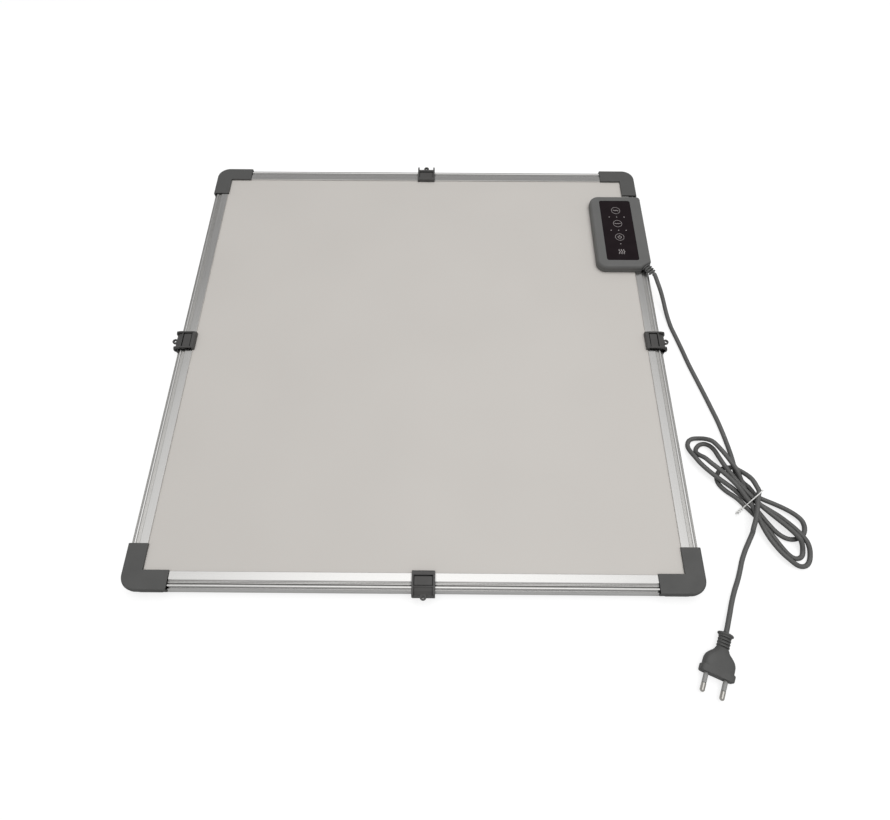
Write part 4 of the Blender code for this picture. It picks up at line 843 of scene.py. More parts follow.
def extruded_rail():
    """Both outlines pushed along X, with their ends filled."""
    shape = bmesh.new()
    edges = []
    for outline in (rail_outline(), chamber_outline()):
        corners = [shape.verts.new((-RAIL_HALF, y, z)) for y, z in outline]
        edges += [shape.edges.new(pair) for pair in zip(corners, corners[1:] + corners[:1])]
    pushed = bmesh.ops.extrude_edge_only(shape, edges=edges)
    bmesh.ops.translate(shape, verts=new_verts(pushed), vec=(2 * RAIL_HALF, 0, 0))
    bmesh.ops.recalc_face_normals(shape, faces=shape.faces)
    rounded_lines = [
        (0, RAIL_LOW), (0, RAIL_TOP - RIM_DROP - RIM_SLOPE),
        (RAIL_FACE, RAIL_TOP), (RAIL_FACE, RAIL_LOW),
    ]
    long_edges = [
        e for e in shape.edges
        if abs(e.verts[0].co.x - e.verts[1].co.x) > RAIL_HALF
        and any((e.verts[0].co.yz - Vector(line)).length < MERGE_DISTANCE for line in rounded_lines)
    ]
    soften(shape, long_edges, EDGE_ROUND, 3)
    for end in (-RAIL_HALF, RAIL_HALF):
        rim = [e for e in shape.edges if all(abs(v.co.x - end) < MERGE_DISTANCE for v in e.verts)]
        bmesh.ops.triangle_fill(shape, edges=rim, use_beauty=True, use_dissolve=False)
    return to_mesh(shape, "rail")


rail_mesh = extruded_rail()
for side, turns in SIDES.items():
    mesh = rail_mesh.copy()
    mesh.transform(side_frame(side))
    add_piece(
        f"extruded_rail_{side}", mesh, rail_finishes[turns % 2], "panel",
        [f"rail_{side}"], SHARP_RAIL_DEGREES,
    )

# %% [markdown]
# ## Corner caps
#
# A cap is a moulded L that hides the rails' cut ends. Its outer corner is a wide round, its
# outer top edge is rolled over, and all other edges have the small radius that any moulding
# needs. The L is pushed up from its outline, its upright corner edge and top edges are
# bevelled, and then the seats for the rails and the panel are cut out of it. Its outer wall
# hangs over the rails' upper part only. The base that it stands on is set back below them.

# %% Four caps from one mould
CAP_SIDE = 0.0020
CAP_REACH = 0.0472
CAP_TOP = RAIL_TOP + 0.0014
CAP_CORNER_ROUND = 0.0165
CAP_TOP_ROUND = 0.0026
CAP_FOOT_ROUND = 0.0012
CAP_WALL_LOW = 0.0115
BASE_SETBACK = 0.010
CAP_EDGE_ROUND = 0.0004
CAP_SKIRT = 0.0006
CUT_BEYOND = 0.004
TONGUE_LENGTH = 0.018
CORNERS = {"near_left": 0, "near_right": 1, "far_right": 2, "far_left": 3}


def cap_body():
    """The outside of a cap, with the frame's outer corner at the origin."""
    inner = RAIL_FACE + GAP + CAP_SKIRT
    side = -CAP_SIDE
    shape = bmesh.new()
    outline = (
        (side, side), (CAP_REACH, side), (CAP_REACH, inner), (inner, inner),
        (inner, CAP_REACH), (side, CAP_REACH),
    )
    push(shape, [(x, y, CAP_WALL_LOW) for x, y in outline], (0, 0, CAP_TOP - CAP_WALL_LOW))
    soften(shape, upright_edges(shape, side, side), CAP_CORNER_ROUND, 16)
    bend = side + CAP_CORNER_ROUND

    def outside(edge):
        """True for an edge on the cap's outer sides or round its corner."""
        middle = (edge.verts[0].co + edge.verts[1].co) / 2
        return min(middle.x, middle.y) < side + GAP or max(middle.x, middle.y) < bend

    for height, rounding, steps in ((CAP_TOP, CAP_TOP_ROUND, 6), (CAP_WALL_LOW, CAP_FOOT_ROUND, 3)):
        soften(shape, [e for e in edges_at(shape, height) if outside(e)], rounding, steps)
    soften(shape, crisp_edges(shape), CAP_EDGE_ROUND)
    return shape


def cap_base():
    """The part of a cap that stands on the floor, set back below the rails."""
    reach = CAP_REACH - BASE_SETBACK
    outline = (
        (0, 0), (reach, 0), (reach, RAIL_FACE), (RAIL_FACE, RAIL_FACE),
        (RAIL_FACE, reach), (0, reach),
    )
    shape = bmesh.new()
    push(shape, [(x, y, 0) for x, y in outline], (0, 0, SLOT_HIGH))
    soften(shape, upright_edges(shape, 0, 0), CAP_CORNER_ROUND - CAP_SIDE, 16)
    return shape


def cap_mesh():
    """A whole cap: its body, its base, its seats for rails and panel, and its two tongues."""
    start = RAIL_FACE + RAIL_LIP
    end = CAP_REACH + CUT_BEYOND
    low, high = RAIL_LOW - GAP, RAIL_TOP + GAP
    seat = RAIL_FACE + GAP
    beyond = seat + CUT_BEYOND
    cuts = [
        box((start, -GAP, low), (end, seat, high)),
        box((-GAP, start, low), (seat, end, high)),
        box((start, RAIL_WEB, low), (end, beyond, SLOT_HIGH)),
        box((RAIL_WEB, start, low), (beyond, end, SLOT_HIGH)),
        box((RAIL_WEB, RAIL_WEB, SLOT_LOW), (beyond, beyond, SLOT_HIGH)),
    ]
    near, far = RAIL_WALL + GAP, RAIL_WEB - RAIL_WALL - GAP
    tongue_low = RAIL_LOW + RAIL_WALL + GAP
    tongue_high = RAIL_TOP - GROOVE_DEPTH - RAIL_WALL - GAP
    root, tip = start - CAP_SIDE, start + TONGUE_LENGTH
    tongues = [
        box((root, near, tongue_low), (tip, far, tongue_high)),
        box((near, root, tongue_low), (far, tip, tongue_high)),
    ]
    hollow = carve(cap_body(), joins=[cap_base()], cuts=cuts)
    return to_mesh(carve(hollow, joins=tongues), "cap")


one_cap = cap_mesh()
for corner, turns in CORNERS.items():
    mesh = one_cap.copy()
    x = PANEL_HALF * (-1 if turns in (0, 3) else 1)
    y = PANEL_HALF * (-1 if turns in (0, 1) else 1)
    mesh.transform(Matrix.Translation((x, y, 0)) @ Matrix.Rotation(turns * math.pi / 2, 4, "Z"))
    add_piece(
        f"moulded_cap_{corner}", mesh, cap_plastic, "panel",
        [f"corner_cap_{corner}"],
    )

# %% [markdown]
# ## Mounting clips
#
# A clip wraps round the rail and slides along it. From above it has a raised strip next to
# the panel, a slot, a wide pad, a low rib and a shelf that slopes down to the outer side,
# all between two end walls. A thin seam runs round the pad on its other three sides, and a
# round ear with a screw hole stands out below. The section is pushed along X with its edges
# rounded, the walls and the ear are joined, and the hole and the seams are cut.

# %% Four clips from one mould
CLIP_LENGTH = 0.024
CLIP_END_WALL = 0.0020
CLIP_PLATE = 0.0024
CLIP_STEP = 0.0010
CLIP_SLOT_DEPTH = 0.0020
CLIP_STRIP = 0.0047
CLIP_STRIP_TOP = RAIL_TOP + 0.0040
CLIP_WALL_TOP = RAIL_TOP + 0.0044
CLIP_SLOT = 0.0012
CLIP_PAD = 0.0097
CLIP_RIB = 0.0012
CLIP_INNER_WALL = 0.0017
CLIP_OUTER_WALL = 0.0036
CLIP_PRONG = 0.0020
CLIP_SEAM = 0.0008
CLIP_HOOK_REACH = 0.0034
CLIP_FOOT = 0.0012
CLIP_ROUND = 0.00025
EAR_DIAMETER = 0.0070
EAR_HOLE = 0.0032
EAR_THICKNESS = 0.0024
EAR_DROP = 0.0050
EAR_STANDOFF = 0.0017
CLIP_PLACES = {"near": 0.0105, "right": 0.0060, "far": -0.0010, "left": -0.0016}


def bar(section, start, end):
    """A section in inset and height, pushed along X with softened edges."""
    shape = bmesh.new()
    push(shape, [(start, y, z) for y, z in section], (end - start, 0, 0))
    soften(shape, shape.edges, CLIP_ROUND)
    return shape


def clip_mesh():
    """A whole clip in a side's frame, with its middle at X = 0."""
    half = CLIP_LENGTH / 2
    seat = RAIL_TOP + GAP
    pad = seat + CLIP_PLATE
    inner = RAIL_FACE + GAP + CLIP_INNER_WALL
    strip_end = inner - CLIP_STRIP
    pad_end = strip_end - CLIP_SLOT
    rib_start = pad_end - CLIP_PAD
    shelf = rib_start - CLIP_RIB
    outer = -GAP - CLIP_OUTER_WALL
    foot = RAIL_LOW - GAP - CLIP_FOOT
    section = (
        (inner - CLIP_INNER_WALL, SHEET_TOP + GAP), (inner, SHEET_TOP + GAP),
        (inner, CLIP_STRIP_TOP - CLIP_STEP), (inner - CLIP_STEP, CLIP_STRIP_TOP),
        (strip_end, CLIP_STRIP_TOP), (strip_end, pad - CLIP_SLOT_DEPTH),
        (pad_end, pad - CLIP_SLOT_DEPTH),
        (pad_end, pad), (rib_start, pad), (rib_start, CLIP_STRIP_TOP), (shelf, CLIP_STRIP_TOP),
        (shelf, pad), (0, seat + CLIP_STEP), (outer, RAIL_TOP - CLIP_STEP), (outer, foot),
        (CLIP_HOOK_REACH, foot), (CLIP_HOOK_REACH, RAIL_LOW - GAP), (-GAP, RAIL_LOW - GAP),
        (-GAP, seat), (inner - CLIP_INNER_WALL, seat),
    )
    spread = outer - CLIP_PRONG
    wall_foot = RAIL_TOP - EAR_DROP
    end_section = (
        (strip_end + CLIP_SLOT, seat), (strip_end + CLIP_SLOT, CLIP_WALL_TOP),
        (0, CLIP_WALL_TOP), (outer, CLIP_WALL_TOP - CLIP_STEP),
        (spread + CLIP_PRONG / 4, RAIL_TOP), (spread, RAIL_TOP - EAR_DROP / 2),
        (spread, wall_foot), (outer, wall_foot - EAR_THICKNESS),
        (-GAP, wall_foot - EAR_THICKNESS), (-GAP, seat),
    )
    ear_top = CLIP_WALL_TOP - EAR_DROP
    ear_low = ear_top - EAR_THICKNESS
    centre = (0, outer - EAR_STANDOFF)
    ear = disc_rod(centre, ear_low, ear_top, EAR_DIAMETER, 40)
    soften(ear, crisp_edges(ear), CLIP_ROUND * 2, 3)
    web_half = EAR_DIAMETER / 2 - CLIP_RIB / 2
    web = box((-web_half, centre[1], ear_low), (web_half, outer + CLIP_RIB, ear_top - CLIP_ROUND))
    body = carve(
        bar(section, -half, half),
        joins=[
            bar(end_section, -half, -half + CLIP_END_WALL),
            bar(end_section, half - CLIP_END_WALL, half),
            web, ear,
        ],
    )
    hole = disc_rod(centre, ear_low - CUT_BEYOND, ear_top + CUT_BEYOND, EAR_HOLE, 32)
    seam_low, seam_end = pad - CLIP_SLOT_DEPTH, half - CLIP_END_WALL
    seams = [box((-seam_end, rib_start, seam_low), (seam_end, rib_start + CLIP_SEAM, pad + GAP))]
    for start in (-seam_end, seam_end - CLIP_SEAM):
        seams.append(box((start, rib_start, seam_low), (start + CLIP_SEAM, pad_end + GAP, pad + GAP)))
    return to_mesh(carve(body, cuts=[hole, *seams]), "clip")


one_clip = clip_mesh()
for side, along in CLIP_PLACES.items():
    mesh = one_clip.copy()
    mesh.transform(side_frame(side, along))
    add_piece(
        f"moulded_clip_{side}", mesh, clip_plastic, f"{side}_clip", [f"clip_{side}"],
    )

# %% [markdown]
# ## Touch controller
#
# The controller is two moulded shells that meet at a parting line. Both start from the same
# outline of five corners, with the near right one cut off for the lead. Each upright corner
# gets its own round. The upper shell's top is drawn in step by step along an ellipse, which
# gives the wide soft edge, and both shells are cut out with an even wall.

# %% Outline and shells of the controller
CASE_LEFT_ROUND = 0.012
CASE_CUT_ROUND = 0.002
CASE_RIGHT_ROUND = 0.005
CASE_CORNERS = (
    (CASE_LEFT, CASE_NEAR, CASE_LEFT_ROUND), (CASE_RIGHT - CUT_X, CASE_NEAR, CASE_CUT_ROUND),
    (CASE_RIGHT, CASE_NEAR + CUT_Y, CASE_CUT_ROUND), (CASE_RIGHT, CASE_FAR, CASE_RIGHT_ROUND),
    (CASE_LEFT, CASE_FAR, CASE_LEFT_ROUND),
)
ARC_STEPS = 12
LEAST_ROUND = 0.0003
CASE_WALL = 0.0018
CASE_FLOOR = 0.0016
CASE_ROOF = 0.0022
CROWN_DROP = 0.0044
CROWN_INSET = 0.0034
CROWN_STEPS = 9
LENS_WIDTH = 0.042
LENS_LENGTH = 0.1055
LENS_THICKNESS = 0.0010
LENS_RECESS = 0.0002
LENS_ROUND = 0.003
LENS_INSET = 0.0128
LENS_MARGIN = 0.0115
LENS_LEFT = CASE_LEFT + LENS_INSET
LENS_NEAR = CASE_NEAR + LENS_MARGIN
LENS_FAR = LENS_NEAR + LENS_LENGTH
LENS_MIDDLE = LENS_LEFT + LENS_WIDTH / 2
BOSS_DIAMETER = 0.0064
PILLAR_DIAMETER = 0.0050
SCREW_BORE = 0.0028
SCREW_HEAD_BORE = 0.0052
SCREW_HEAD_DEPTH = 0.0017
SCREW_BORE_RISE = 0.0029
LIGHT_HOLE = 0.0032
BOARD_THICKNESS = 0.0012
BOARD_LEFT_GAP = 0.0099
BOARD_RIGHT_GAP = 0.0171
BOARD_NEAR_GAP = 0.0170
BOARD_FAR_GAP = 0.0135
BOARD_LOW = CASE_HIGH - CASE_ROOF - GAP - BOARD_THICKNESS
RELIEF_NECK = (0.0096, 0.0046)
FIRST_KEY_DROP = 0.0178
FIRST_KEY = LENS_FAR - FIRST_KEY_DROP
KEY_PITCH = 0.0240
LIGHT_DROP = 0.0120
LIGHT_PITCH = 0.0102


def case_outline(height, inset=0.0):
    """Points round the case at a height, drawn in evenly by inset."""
    points = []
    for index, (x, y, rounding) in enumerate(CASE_CORNERS):
        corner = Vector((x, y))
        before = (Vector(CASE_CORNERS[index - 1][:2]) - corner).normalized()
        after = (Vector(CASE_CORNERS[(index + 1) % len(CASE_CORNERS)][:2]) - corner).normalized()
        half = before.angle(after) / 2
        radius = max(rounding - inset, LEAST_ROUND)
        bisector = (before + after).normalized()
        centre = corner + bisector * ((radius + inset) / math.sin(half))
        spoke = before * (radius / math.tan(half)) - bisector * (radius / math.sin(half))
        turn = math.pi - 2 * half
        for k in range(ARC_STEPS + 1):
            points.append((*(centre + Matrix.Rotation(turn * k / ARC_STEPS, 2) @ spoke), height))
    return points


def bridged(shape, loops):
    """Join loops of edges one after another and close both ends."""
    for lower, upper in zip(loops, loops[1:]):
        bmesh.ops.bridge_loops(shape, edges=lower + upper)
    bmesh.ops.holes_fill(shape, edges=shape.edges)
    bmesh.ops.recalc_face_normals(shape, faces=shape.faces)
    return shape


def stacked(outlines):
    """A closed body through outlines of equal point counts, from the lowest up."""
    shape = bmesh.new()
    loops = []
    for outline in outlines:
        verts = [shape.verts.new(point) for point in outline]
        loops.append([shape.edges.new(pair) for pair in zip(verts, verts[1:] + verts[:1])])
    return bridged(shape, loops)


def case_block(low, high, inset=0.0):
    """The case's outline pushed up from low to high."""
    return stacked([case_outline(low, inset), case_outline(high, inset)])


def rounded_plate(low, high, rounding):
    """A block with its four upright corners rounded."""
    shape = box(low, high)
    for x in (low[0], high[0]):
        for y in (low[1], high[1]):
            soften(shape, upright_edges(shape, x, y), rounding, 8)
    return shape


def ringed(stations, frame, sides=48):
    """A closed body through rings: each is a place along Z, a width, a height and a squareness."""
    shape = bmesh.new()
    loops = []
    for along, width, height, square in stations:
        known = len(shape.edges)
        circle = bmesh.ops.create_circle(shape, segments=sides, radius=1)["verts"]
        for vert in circle:
            x, y = vert.co.xy
            vert.co.x = math.copysign(abs(x) ** square, x) * width / 2
            vert.co.y = math.copysign(abs(y) ** square, y) * height / 2
            vert.co.z = along
        loops.append(list(shape.edges)[known:])
    bridged(shape, loops)
    bmesh.ops.transform(shape, matrix=frame, verts=shape.verts)
    return shape


def axis_frame(origin, out):
    """A frame with Z along a level direction, Y up and X across."""
    across = Vector((-out.y, out.x, 0))
    frame = Matrix.Identity(4)
    for column, axis in enumerate((across, Vector((0, 0, 1)), out)):
        frame.col[column].xyz = axis
    frame.translation = origin
    return frame


relief_frame = axis_frame(relief_start, relief_out)
reach = BOSS_DIAMETER / 2 + CASE_WALL
screw_places = [
    (CASE_LEFT + reach + 2 * CASE_WALL, CASE_NEAR + reach + GAP),
    (CASE_RIGHT - reach - 2 * CASE_WALL - CUT_X, CASE_NEAR + reach + GAP),
    (CASE_LEFT + reach + 2 * CASE_WALL, CASE_FAR - reach - GAP),
    (CASE_RIGHT - reach - 2 * CASE_WALL, CASE_FAR - reach - GAP),
]
light_places = [
    (LENS_MIDDLE + column * LIGHT_PITCH, FIRST_KEY - row * KEY_PITCH - LIGHT_DROP)
    for row in (0, 1) for column in (-1, 0, 1)
]
light_places.append((LENS_MIDDLE, FIRST_KEY - 2 * KEY_PITCH - LIGHT_DROP))


def neck_hole():
    """The oval hole through the cut corner for the strain relief."""
    width, height = [size + 2 * GAP for size in RELIEF_NECK]
    ends = (-CASE_WALL - CUT_BEYOND, CUT_BEYOND)
    return ringed([(at, width, height, 1) for at in ends], relief_frame)


def lower_shell():
    """The lower half, with bosses for the screws and pillars for the board."""
    parting = CASE_PARTING - GAP / 2
    inner = case_block(CASE_LOW + CASE_FLOOR, CASE_HIGH, CASE_WALL)
    shape = carve(case_block(CASE_LOW, parting), cuts=[inner])
    inside = PILLAR_DIAMETER / 2 + CASE_WALL
    pillars = [
        (x, y)
        for x in (CASE_LEFT + BOARD_LEFT_GAP + inside, CASE_RIGHT - BOARD_RIGHT_GAP - inside)
        for y in (CASE_NEAR + BOARD_NEAR_GAP + inside, CASE_FAR - BOARD_FAR_GAP - inside)
    ]
    root = CASE_LOW + CASE_FLOOR / 2
    bosses = rods(screw_places, root, parting, BOSS_DIAMETER)
    bosses += rods(pillars, root, BOARD_LOW - GAP, PILLAR_DIAMETER)
    below = CASE_LOW - CUT_BEYOND
    holes = rods(screw_places, below, CASE_HIGH, SCREW_BORE)
    holes += rods(screw_places, below, CASE_LOW + SCREW_HEAD_DEPTH, SCREW_HEAD_BORE)
    return to_mesh(carve(carve(shape, joins=bosses), cuts=[*holes, neck_hole()]), "shell")


def upper_shell():
    """The upper half, with its drawn-in top, the seat of the lens and holes for the lights."""
    parting = CASE_PARTING + GAP / 2
    outlines = [case_outline(parting)]
    for k in range(CROWN_STEPS + 1):
        turn = math.pi / 2 * k / CROWN_STEPS
        height = CASE_HIGH - CROWN_DROP * (1 - math.sin(turn))
        outlines.append(case_outline(height, CROWN_INSET * (1 - math.cos(turn))))
    inner = case_block(CASE_LOW, CASE_HIGH - CASE_ROOF, CASE_WALL)
    shape = carve(stacked(outlines), cuts=[inner])
    roof = CASE_HIGH - CASE_ROOF / 2
    posts = rods(screw_places, parting, roof, BOSS_DIAMETER)
    seat = rounded_plate(
        (LENS_LEFT - GAP, LENS_NEAR - GAP, CASE_HIGH - LENS_THICKNESS - LENS_RECESS - GAP),
        (LENS_LEFT + LENS_WIDTH + GAP, LENS_FAR + GAP, CASE_HIGH + CUT_BEYOND), LENS_ROUND,
    )
    bores = rods(screw_places, CASE_LOW, CASE_PARTING + SCREW_BORE_RISE, SCREW_BORE)
    lights = rods(light_places, CASE_LOW, CASE_HIGH, LIGHT_HOLE)
    cuts = [seat, *bores, *lights, neck_hole()]
    return to_mesh(carve(carve(shape, joins=posts), cuts=cuts), "shell")


add_piece("case_lower_shell", lower_shell(), case_plastic, "panel", ["controller_base"])
add_piece("case_upper_shell", upper_shell(), case_plastic, "panel", ["controller_cover"])

# %% [markdown]
# ## The lens and its marks
#
# The lens is a thin plate with a polished edge. Its marks are laid on as ribbons of ink, a few
# hundredths of a millimetre thick: rings and signs for three keys, a dot over each light and a
# sign for warmth. The signs are common ones.

# %% Lens
LENS_TOP = CASE_HIGH - LENS_RECESS
LENS_EDGE = 0.00025

lens = rounded_plate(
    (LENS_LEFT, LENS_NEAR, LENS_TOP - LENS_THICKNESS), (LENS_LEFT + LENS_WIDTH, LENS_FAR, LENS_TOP),
    LENS_ROUND,
)
soften(lens, edges_at(lens, LENS_TOP), LENS_EDGE)
add_piece("acrylic_lens", to_mesh(lens, "lens"), lens_black, "panel", ["touch_lens"])

# %% Printed marks
# A wavy mark is given by its half length, swing, count of waves and stroke
INK = 0.00004
STROKE = 0.00055
BOLD_STROKE = 0.0008
KEY_RING = 0.0058
RING_STEPS = 48
WAVY_BAR = (0.0036, 0.0007, 2, 0.0009)
TICKED_BAR = 0.0038
TICK = (0.0013, 0.0006)
POWER_RING = (0.0022, 125, 415)
POWER_BAR = (0.0006, 0.0031)
HEAT_DROP = 0.0014
HEAT_PITCH = 0.0030
HEAT_WAVE = (0.0040, 0.0008, 1.5, 0.0010)
LIGHT_DOT = 0.0004


def arc(centre, radius, first=0.0, last=360.0, steps=RING_STEPS):
    """Points on an arc in plan, between two angles in degrees."""
    turns = [math.radians(first + (last - first) * k / steps) for k in range(steps + 1)]
    return [(centre[0] + radius * math.cos(a), centre[1] + radius * math.sin(a)) for a in turns]


def wave(start, end, swing, waves, steps=24):
    """Points on a wavy line in plan."""
    start, end = Vector(start), Vector(end)
    side = (end - start).normalized().orthogonal()
    return [
        start.lerp(end, k / steps) + side * (swing * math.sin(2 * math.pi * waves * k / steps))
        for k in range(steps + 1)
    ]


def ribbon(shape, points, width=STROKE):
    """Lay a flat ribbon of ink along points in plan."""
    line = [Vector(p) for p in points]
    rows = []
    for index, point in enumerate(line):
        before, after = line[max(index - 1, 0)], line[min(index + 1, len(line) - 1)]
        if (line[0] - line[-1]).length < MERGE_DISTANCE and index in (0, len(line) - 1):
            before, after = line[-2], line[1]
        side = (after - before).normalized().orthogonal() * (width / 2)
        rows.append([shape.verts.new((*(point + side * sign), LENS_TOP)) for sign in (1, -1)])
    for (a, b), (c, d) in zip(rows, rows[1:]):
        shape.faces.new((a, b, d, c))


def printed_marks():
    """All marks as one thin layer of ink."""
    shape = bmesh.new()
    keys = [(LENS_MIDDLE, FIRST_KEY - row * KEY_PITCH) for row in range(3)]
    for x, y in keys:
        ribbon(shape, arc((x, y), KEY_RING))
    x, y = keys[0]
    half, swing, waves, stroke = WAVY_BAR
    ribbon(shape, wave((x - half, y), (x + half, y), swing, waves), stroke)
    x, y = keys[1]
    ribbon(shape, [(x - TICKED_BAR, y), (x + TICKED_BAR, y)], BOLD_STROKE)
    for shift in (-TICKED_BAR, 0, TICKED_BAR):
        ribbon(shape, [(x + shift, y), (x + shift, y + TICK[0])], TICK[1])
    x, y = keys[2]
    ribbon(shape, arc((x, y), *POWER_RING), BOLD_STROKE)
    ribbon(shape, [(x, y + end) for end in POWER_BAR], BOLD_STROKE)
    x, y = LENS_MIDDLE, FIRST_KEY - 3 * KEY_PITCH - HEAT_DROP
    half, swing, waves, stroke = HEAT_WAVE
    for shift in (-HEAT_PITCH, 0, HEAT_PITCH):
        ribbon(shape, wave((x + shift, y - half), (x + shift, y + half), swing, waves), stroke)
    for place in light_places:
        ribbon(shape, arc(place, LIGHT_DOT), BOLD_STROKE)
    bmesh.ops.remove_doubles(shape, verts=shape.verts, dist=MERGE_DISTANCE)
    pushed = bmesh.ops.extrude_face_region(shape, geom=shape.faces[:])
    bmesh.ops.translate(shape, verts=new_verts(pushed), vec=(0, 0, INK))
    return to_mesh(shape, "marks")


add_piece("printed_marks", printed_marks(), print_ink, "panel")

# %% [markdown]
# ## Strain relief
#
# A flange sits inside the case, a neck passes through its wall, and outside four oval ribs
# taper toward the lead. Rings of the right sizes are placed along the axis and bridged. The
# gap between two ribs is a slot with upright sides, which bends easily.

# %% Strain relief
RELIEF_SIZE = (0.0130, 0.0080)
RELIEF_FLANGE = (0.0114, 0.0054)
FLANGE_DEPTH = 0.0020
RELIEF_RIBS = 4
RELIEF_TIP_SHARE = 0.84
RIB_SHARE = 0.42
SLOT_DEPTH = 0.0024
RIB_ROUND = 0.00035


def relief_stations():
    """Rings of the relief from inside the case to its tip."""
    inside = -CASE_WALL - GAP
    rings = [
        (inside - FLANGE_DEPTH, *RELIEF_FLANGE, 1), (inside, *RELIEF_FLANGE, 1),
        (inside, *RELIEF_NECK, 1), (GAP, *RELIEF_NECK, 1),
    ]
    pitch = (RELIEF_LENGTH - GAP) / RELIEF_RIBS
    for rib in range(RELIEF_RIBS):
        root = GAP + rib * pitch
        end = root + pitch * RIB_SHARE
        share = 1 - (1 - RELIEF_TIP_SHARE) * rib / (RELIEF_RIBS - 1)
        width, height = [size * share for size in RELIEF_SIZE]
        soft = [size - 2 * RIB_ROUND for size in (width, height)]
        rings += [
            (root, *soft, 1), (root + RIB_ROUND, width, height, 1),
            (end - RIB_ROUND, width, height, 1), (end, *soft, 1),
        ]
        if rib < RELIEF_RIBS - 1:
            slot = [size - 2 * SLOT_DEPTH for size in (width, height)]
            rings += [(end, *slot, 1), (root + pitch, *slot, 1)]
    return rings


relief = ringed(relief_stations(), relief_frame, 64)
add_piece("ribbed_relief", to_mesh(relief, "relief"), cord_sheath, "panel", ["cord_relief"])

# %% [markdown]
# ## Mains lead
#
# The lead is one curve with a round section, all the way from the relief to the plug. Being a
# curve, it keeps its thickness in every bend.

# %% Mains lead
def tube_along(name, points, diameter, finish, resolution):
    """A curve through points with a round section."""
    curve = bpy.data.curves.new(name, "CURVE")
    curve.dimensions = "3D"
    curve.bevel_depth = diameter / 2
    curve.bevel_resolution = resolution
    curve.use_fill_caps = True
    spline = curve.splines.new("POLY")
    spline.points.add(len(points) - 1)
    for target, point in zip(spline.points, points):
        target.co = (*point, 1)
    curve.materials.append(finish)
    tube = new_object(name, curve)
    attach(tube, "panel")
    return tube


lead = tube_along("mains_lead", cord_line, CORD_DIAMETER, cord_sheath, 6)
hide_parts("cord_lead", "cord_hank", "cord_tail")

# %% [markdown]
# ## Wire tie
#
# A thin coated wire goes once round the hank's waist, close to the outermost strands, and its
# two ends are twisted round each other beside it.

# %% Wire tie
TIE_TWISTS = 1.5
TIE_TWIST_LENGTH = 0.009
TIE_STEP_DEGREES = 12
TIE_SHIFT = 0.05
TIE_SPREAD = 1.8
# Where the tie bends round a strand, in degrees: left low, right low, top, second, left high
TIE_BENDS = ((195, 270), (-90, 10), (10, 130), (135, 165), (135, 165))
TWIST_STEPS = 20


def tie_arc(across, height, first, last, spread):
    """Part of the tie round one strand, between two angles in degrees."""
    radius = CORD_DIAMETER / 2 + GAP * 2 + TIE_THICKNESS / 2
    count = max(round(abs(last - first) / TIE_STEP_DEGREES), 1)
    points = []
    for k in range(count + 1):
        angle = math.radians(first + (last - first) * k / count)
        rise = height + radius * math.sin(angle)
        points.append((across + radius * spread * math.cos(angle), max(rise, TIE_THICKNESS / 2)))
    return points


def tie_points():
    """Once round the waist, then both ends twisted together."""
    low = layer_height(0, TIE_LIFT)
    left, right, second = [WAIST_SHARES[k][0] * STRAND_PITCH for k in (5, 0, 3)]
    top_middle = (EXIT_SHARES[0][1] + TIE_SHIFT) * HANK_HALF_WIDTH
    twist_radius = (TIE_THICKNESS + 3 * GAP) / 2
    twist_z = low + CORD_DIAMETER / 4
    twist_start = left - CORD_DIAMETER - TIE_THICKNESS / 2
    bent = (
        (left, low, 1), (right, low, 1), (top_middle, layer_height(2, TIE_LIFT), TIE_SPREAD),
        (second, layer_height(1, TIE_LIFT), 1), (left, low, 1),
    )
    loop = [(twist_start, twist_z - twist_radius)]
    for (across, height, spread), (first, last) in zip(bent, TIE_BENDS):
        loop += tie_arc(across, height, first, last, spread)
    loop.append((twist_start, twist_z + twist_radius))
    steps = round(TWIST_STEPS * TIE_TWISTS)
    first_end, second_end = [], []
    for k in range(1, steps + 1):
        angle = math.pi / 2 + 2 * math.pi * TIE_TWISTS * k / steps
        out = twist_start - TIE_TWIST_LENGTH * k / steps
        rise, swing = twist_radius * math.sin(angle), twist_radius * math.cos(angle)
        second_end.append((out, twist_z + rise, swing))
        first_end.append((out, twist_z - rise, -swing))
    line = [*reversed(first_end), *[(across, height, 0) for across, height in loop], *second_end]
    return [hank_place(along, across, height) for across, height, along in line]


tie = tube_along("coated_wire_tie", tie_points(), TIE_THICKNESS, tie_plastic, 3)
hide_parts("cord_tie")

# %% [markdown]
# ## Plug
#
# The plug is moulded in one piece onto the lead. From its face back it has two small wings, a
# body that narrows in a soft curve, a neck with four grooves and a collar. It is built from
# rings across its axis, boxy near the face and round at the neck. The pins and their sleeves
# are turned parts: each is a profile spun round an axis.

# %% Plug body
PLUG_WIDTH = 0.0330
NECK_SIZE = (0.0128, 0.0104)
COLLAR_SIZE = (0.0160, 0.0126)
NECK_LENGTH = 0.0160
NECK_SLOT = 0.0016
NECK_WAIST = 0.0003
NECK_RIBS = 4
NECK_SLOPE_SHARE = 0.12
COLLAR_SHARES = ((0.24, 0.93), (0.36, 1.0), (0.72, 1.0), (0.88, 0.93))
PIN_SPACING = 0.0192
PIN_DIAMETER = 0.0048
PIN_LENGTH = 0.0190
PIN_SEAT = 0.0060
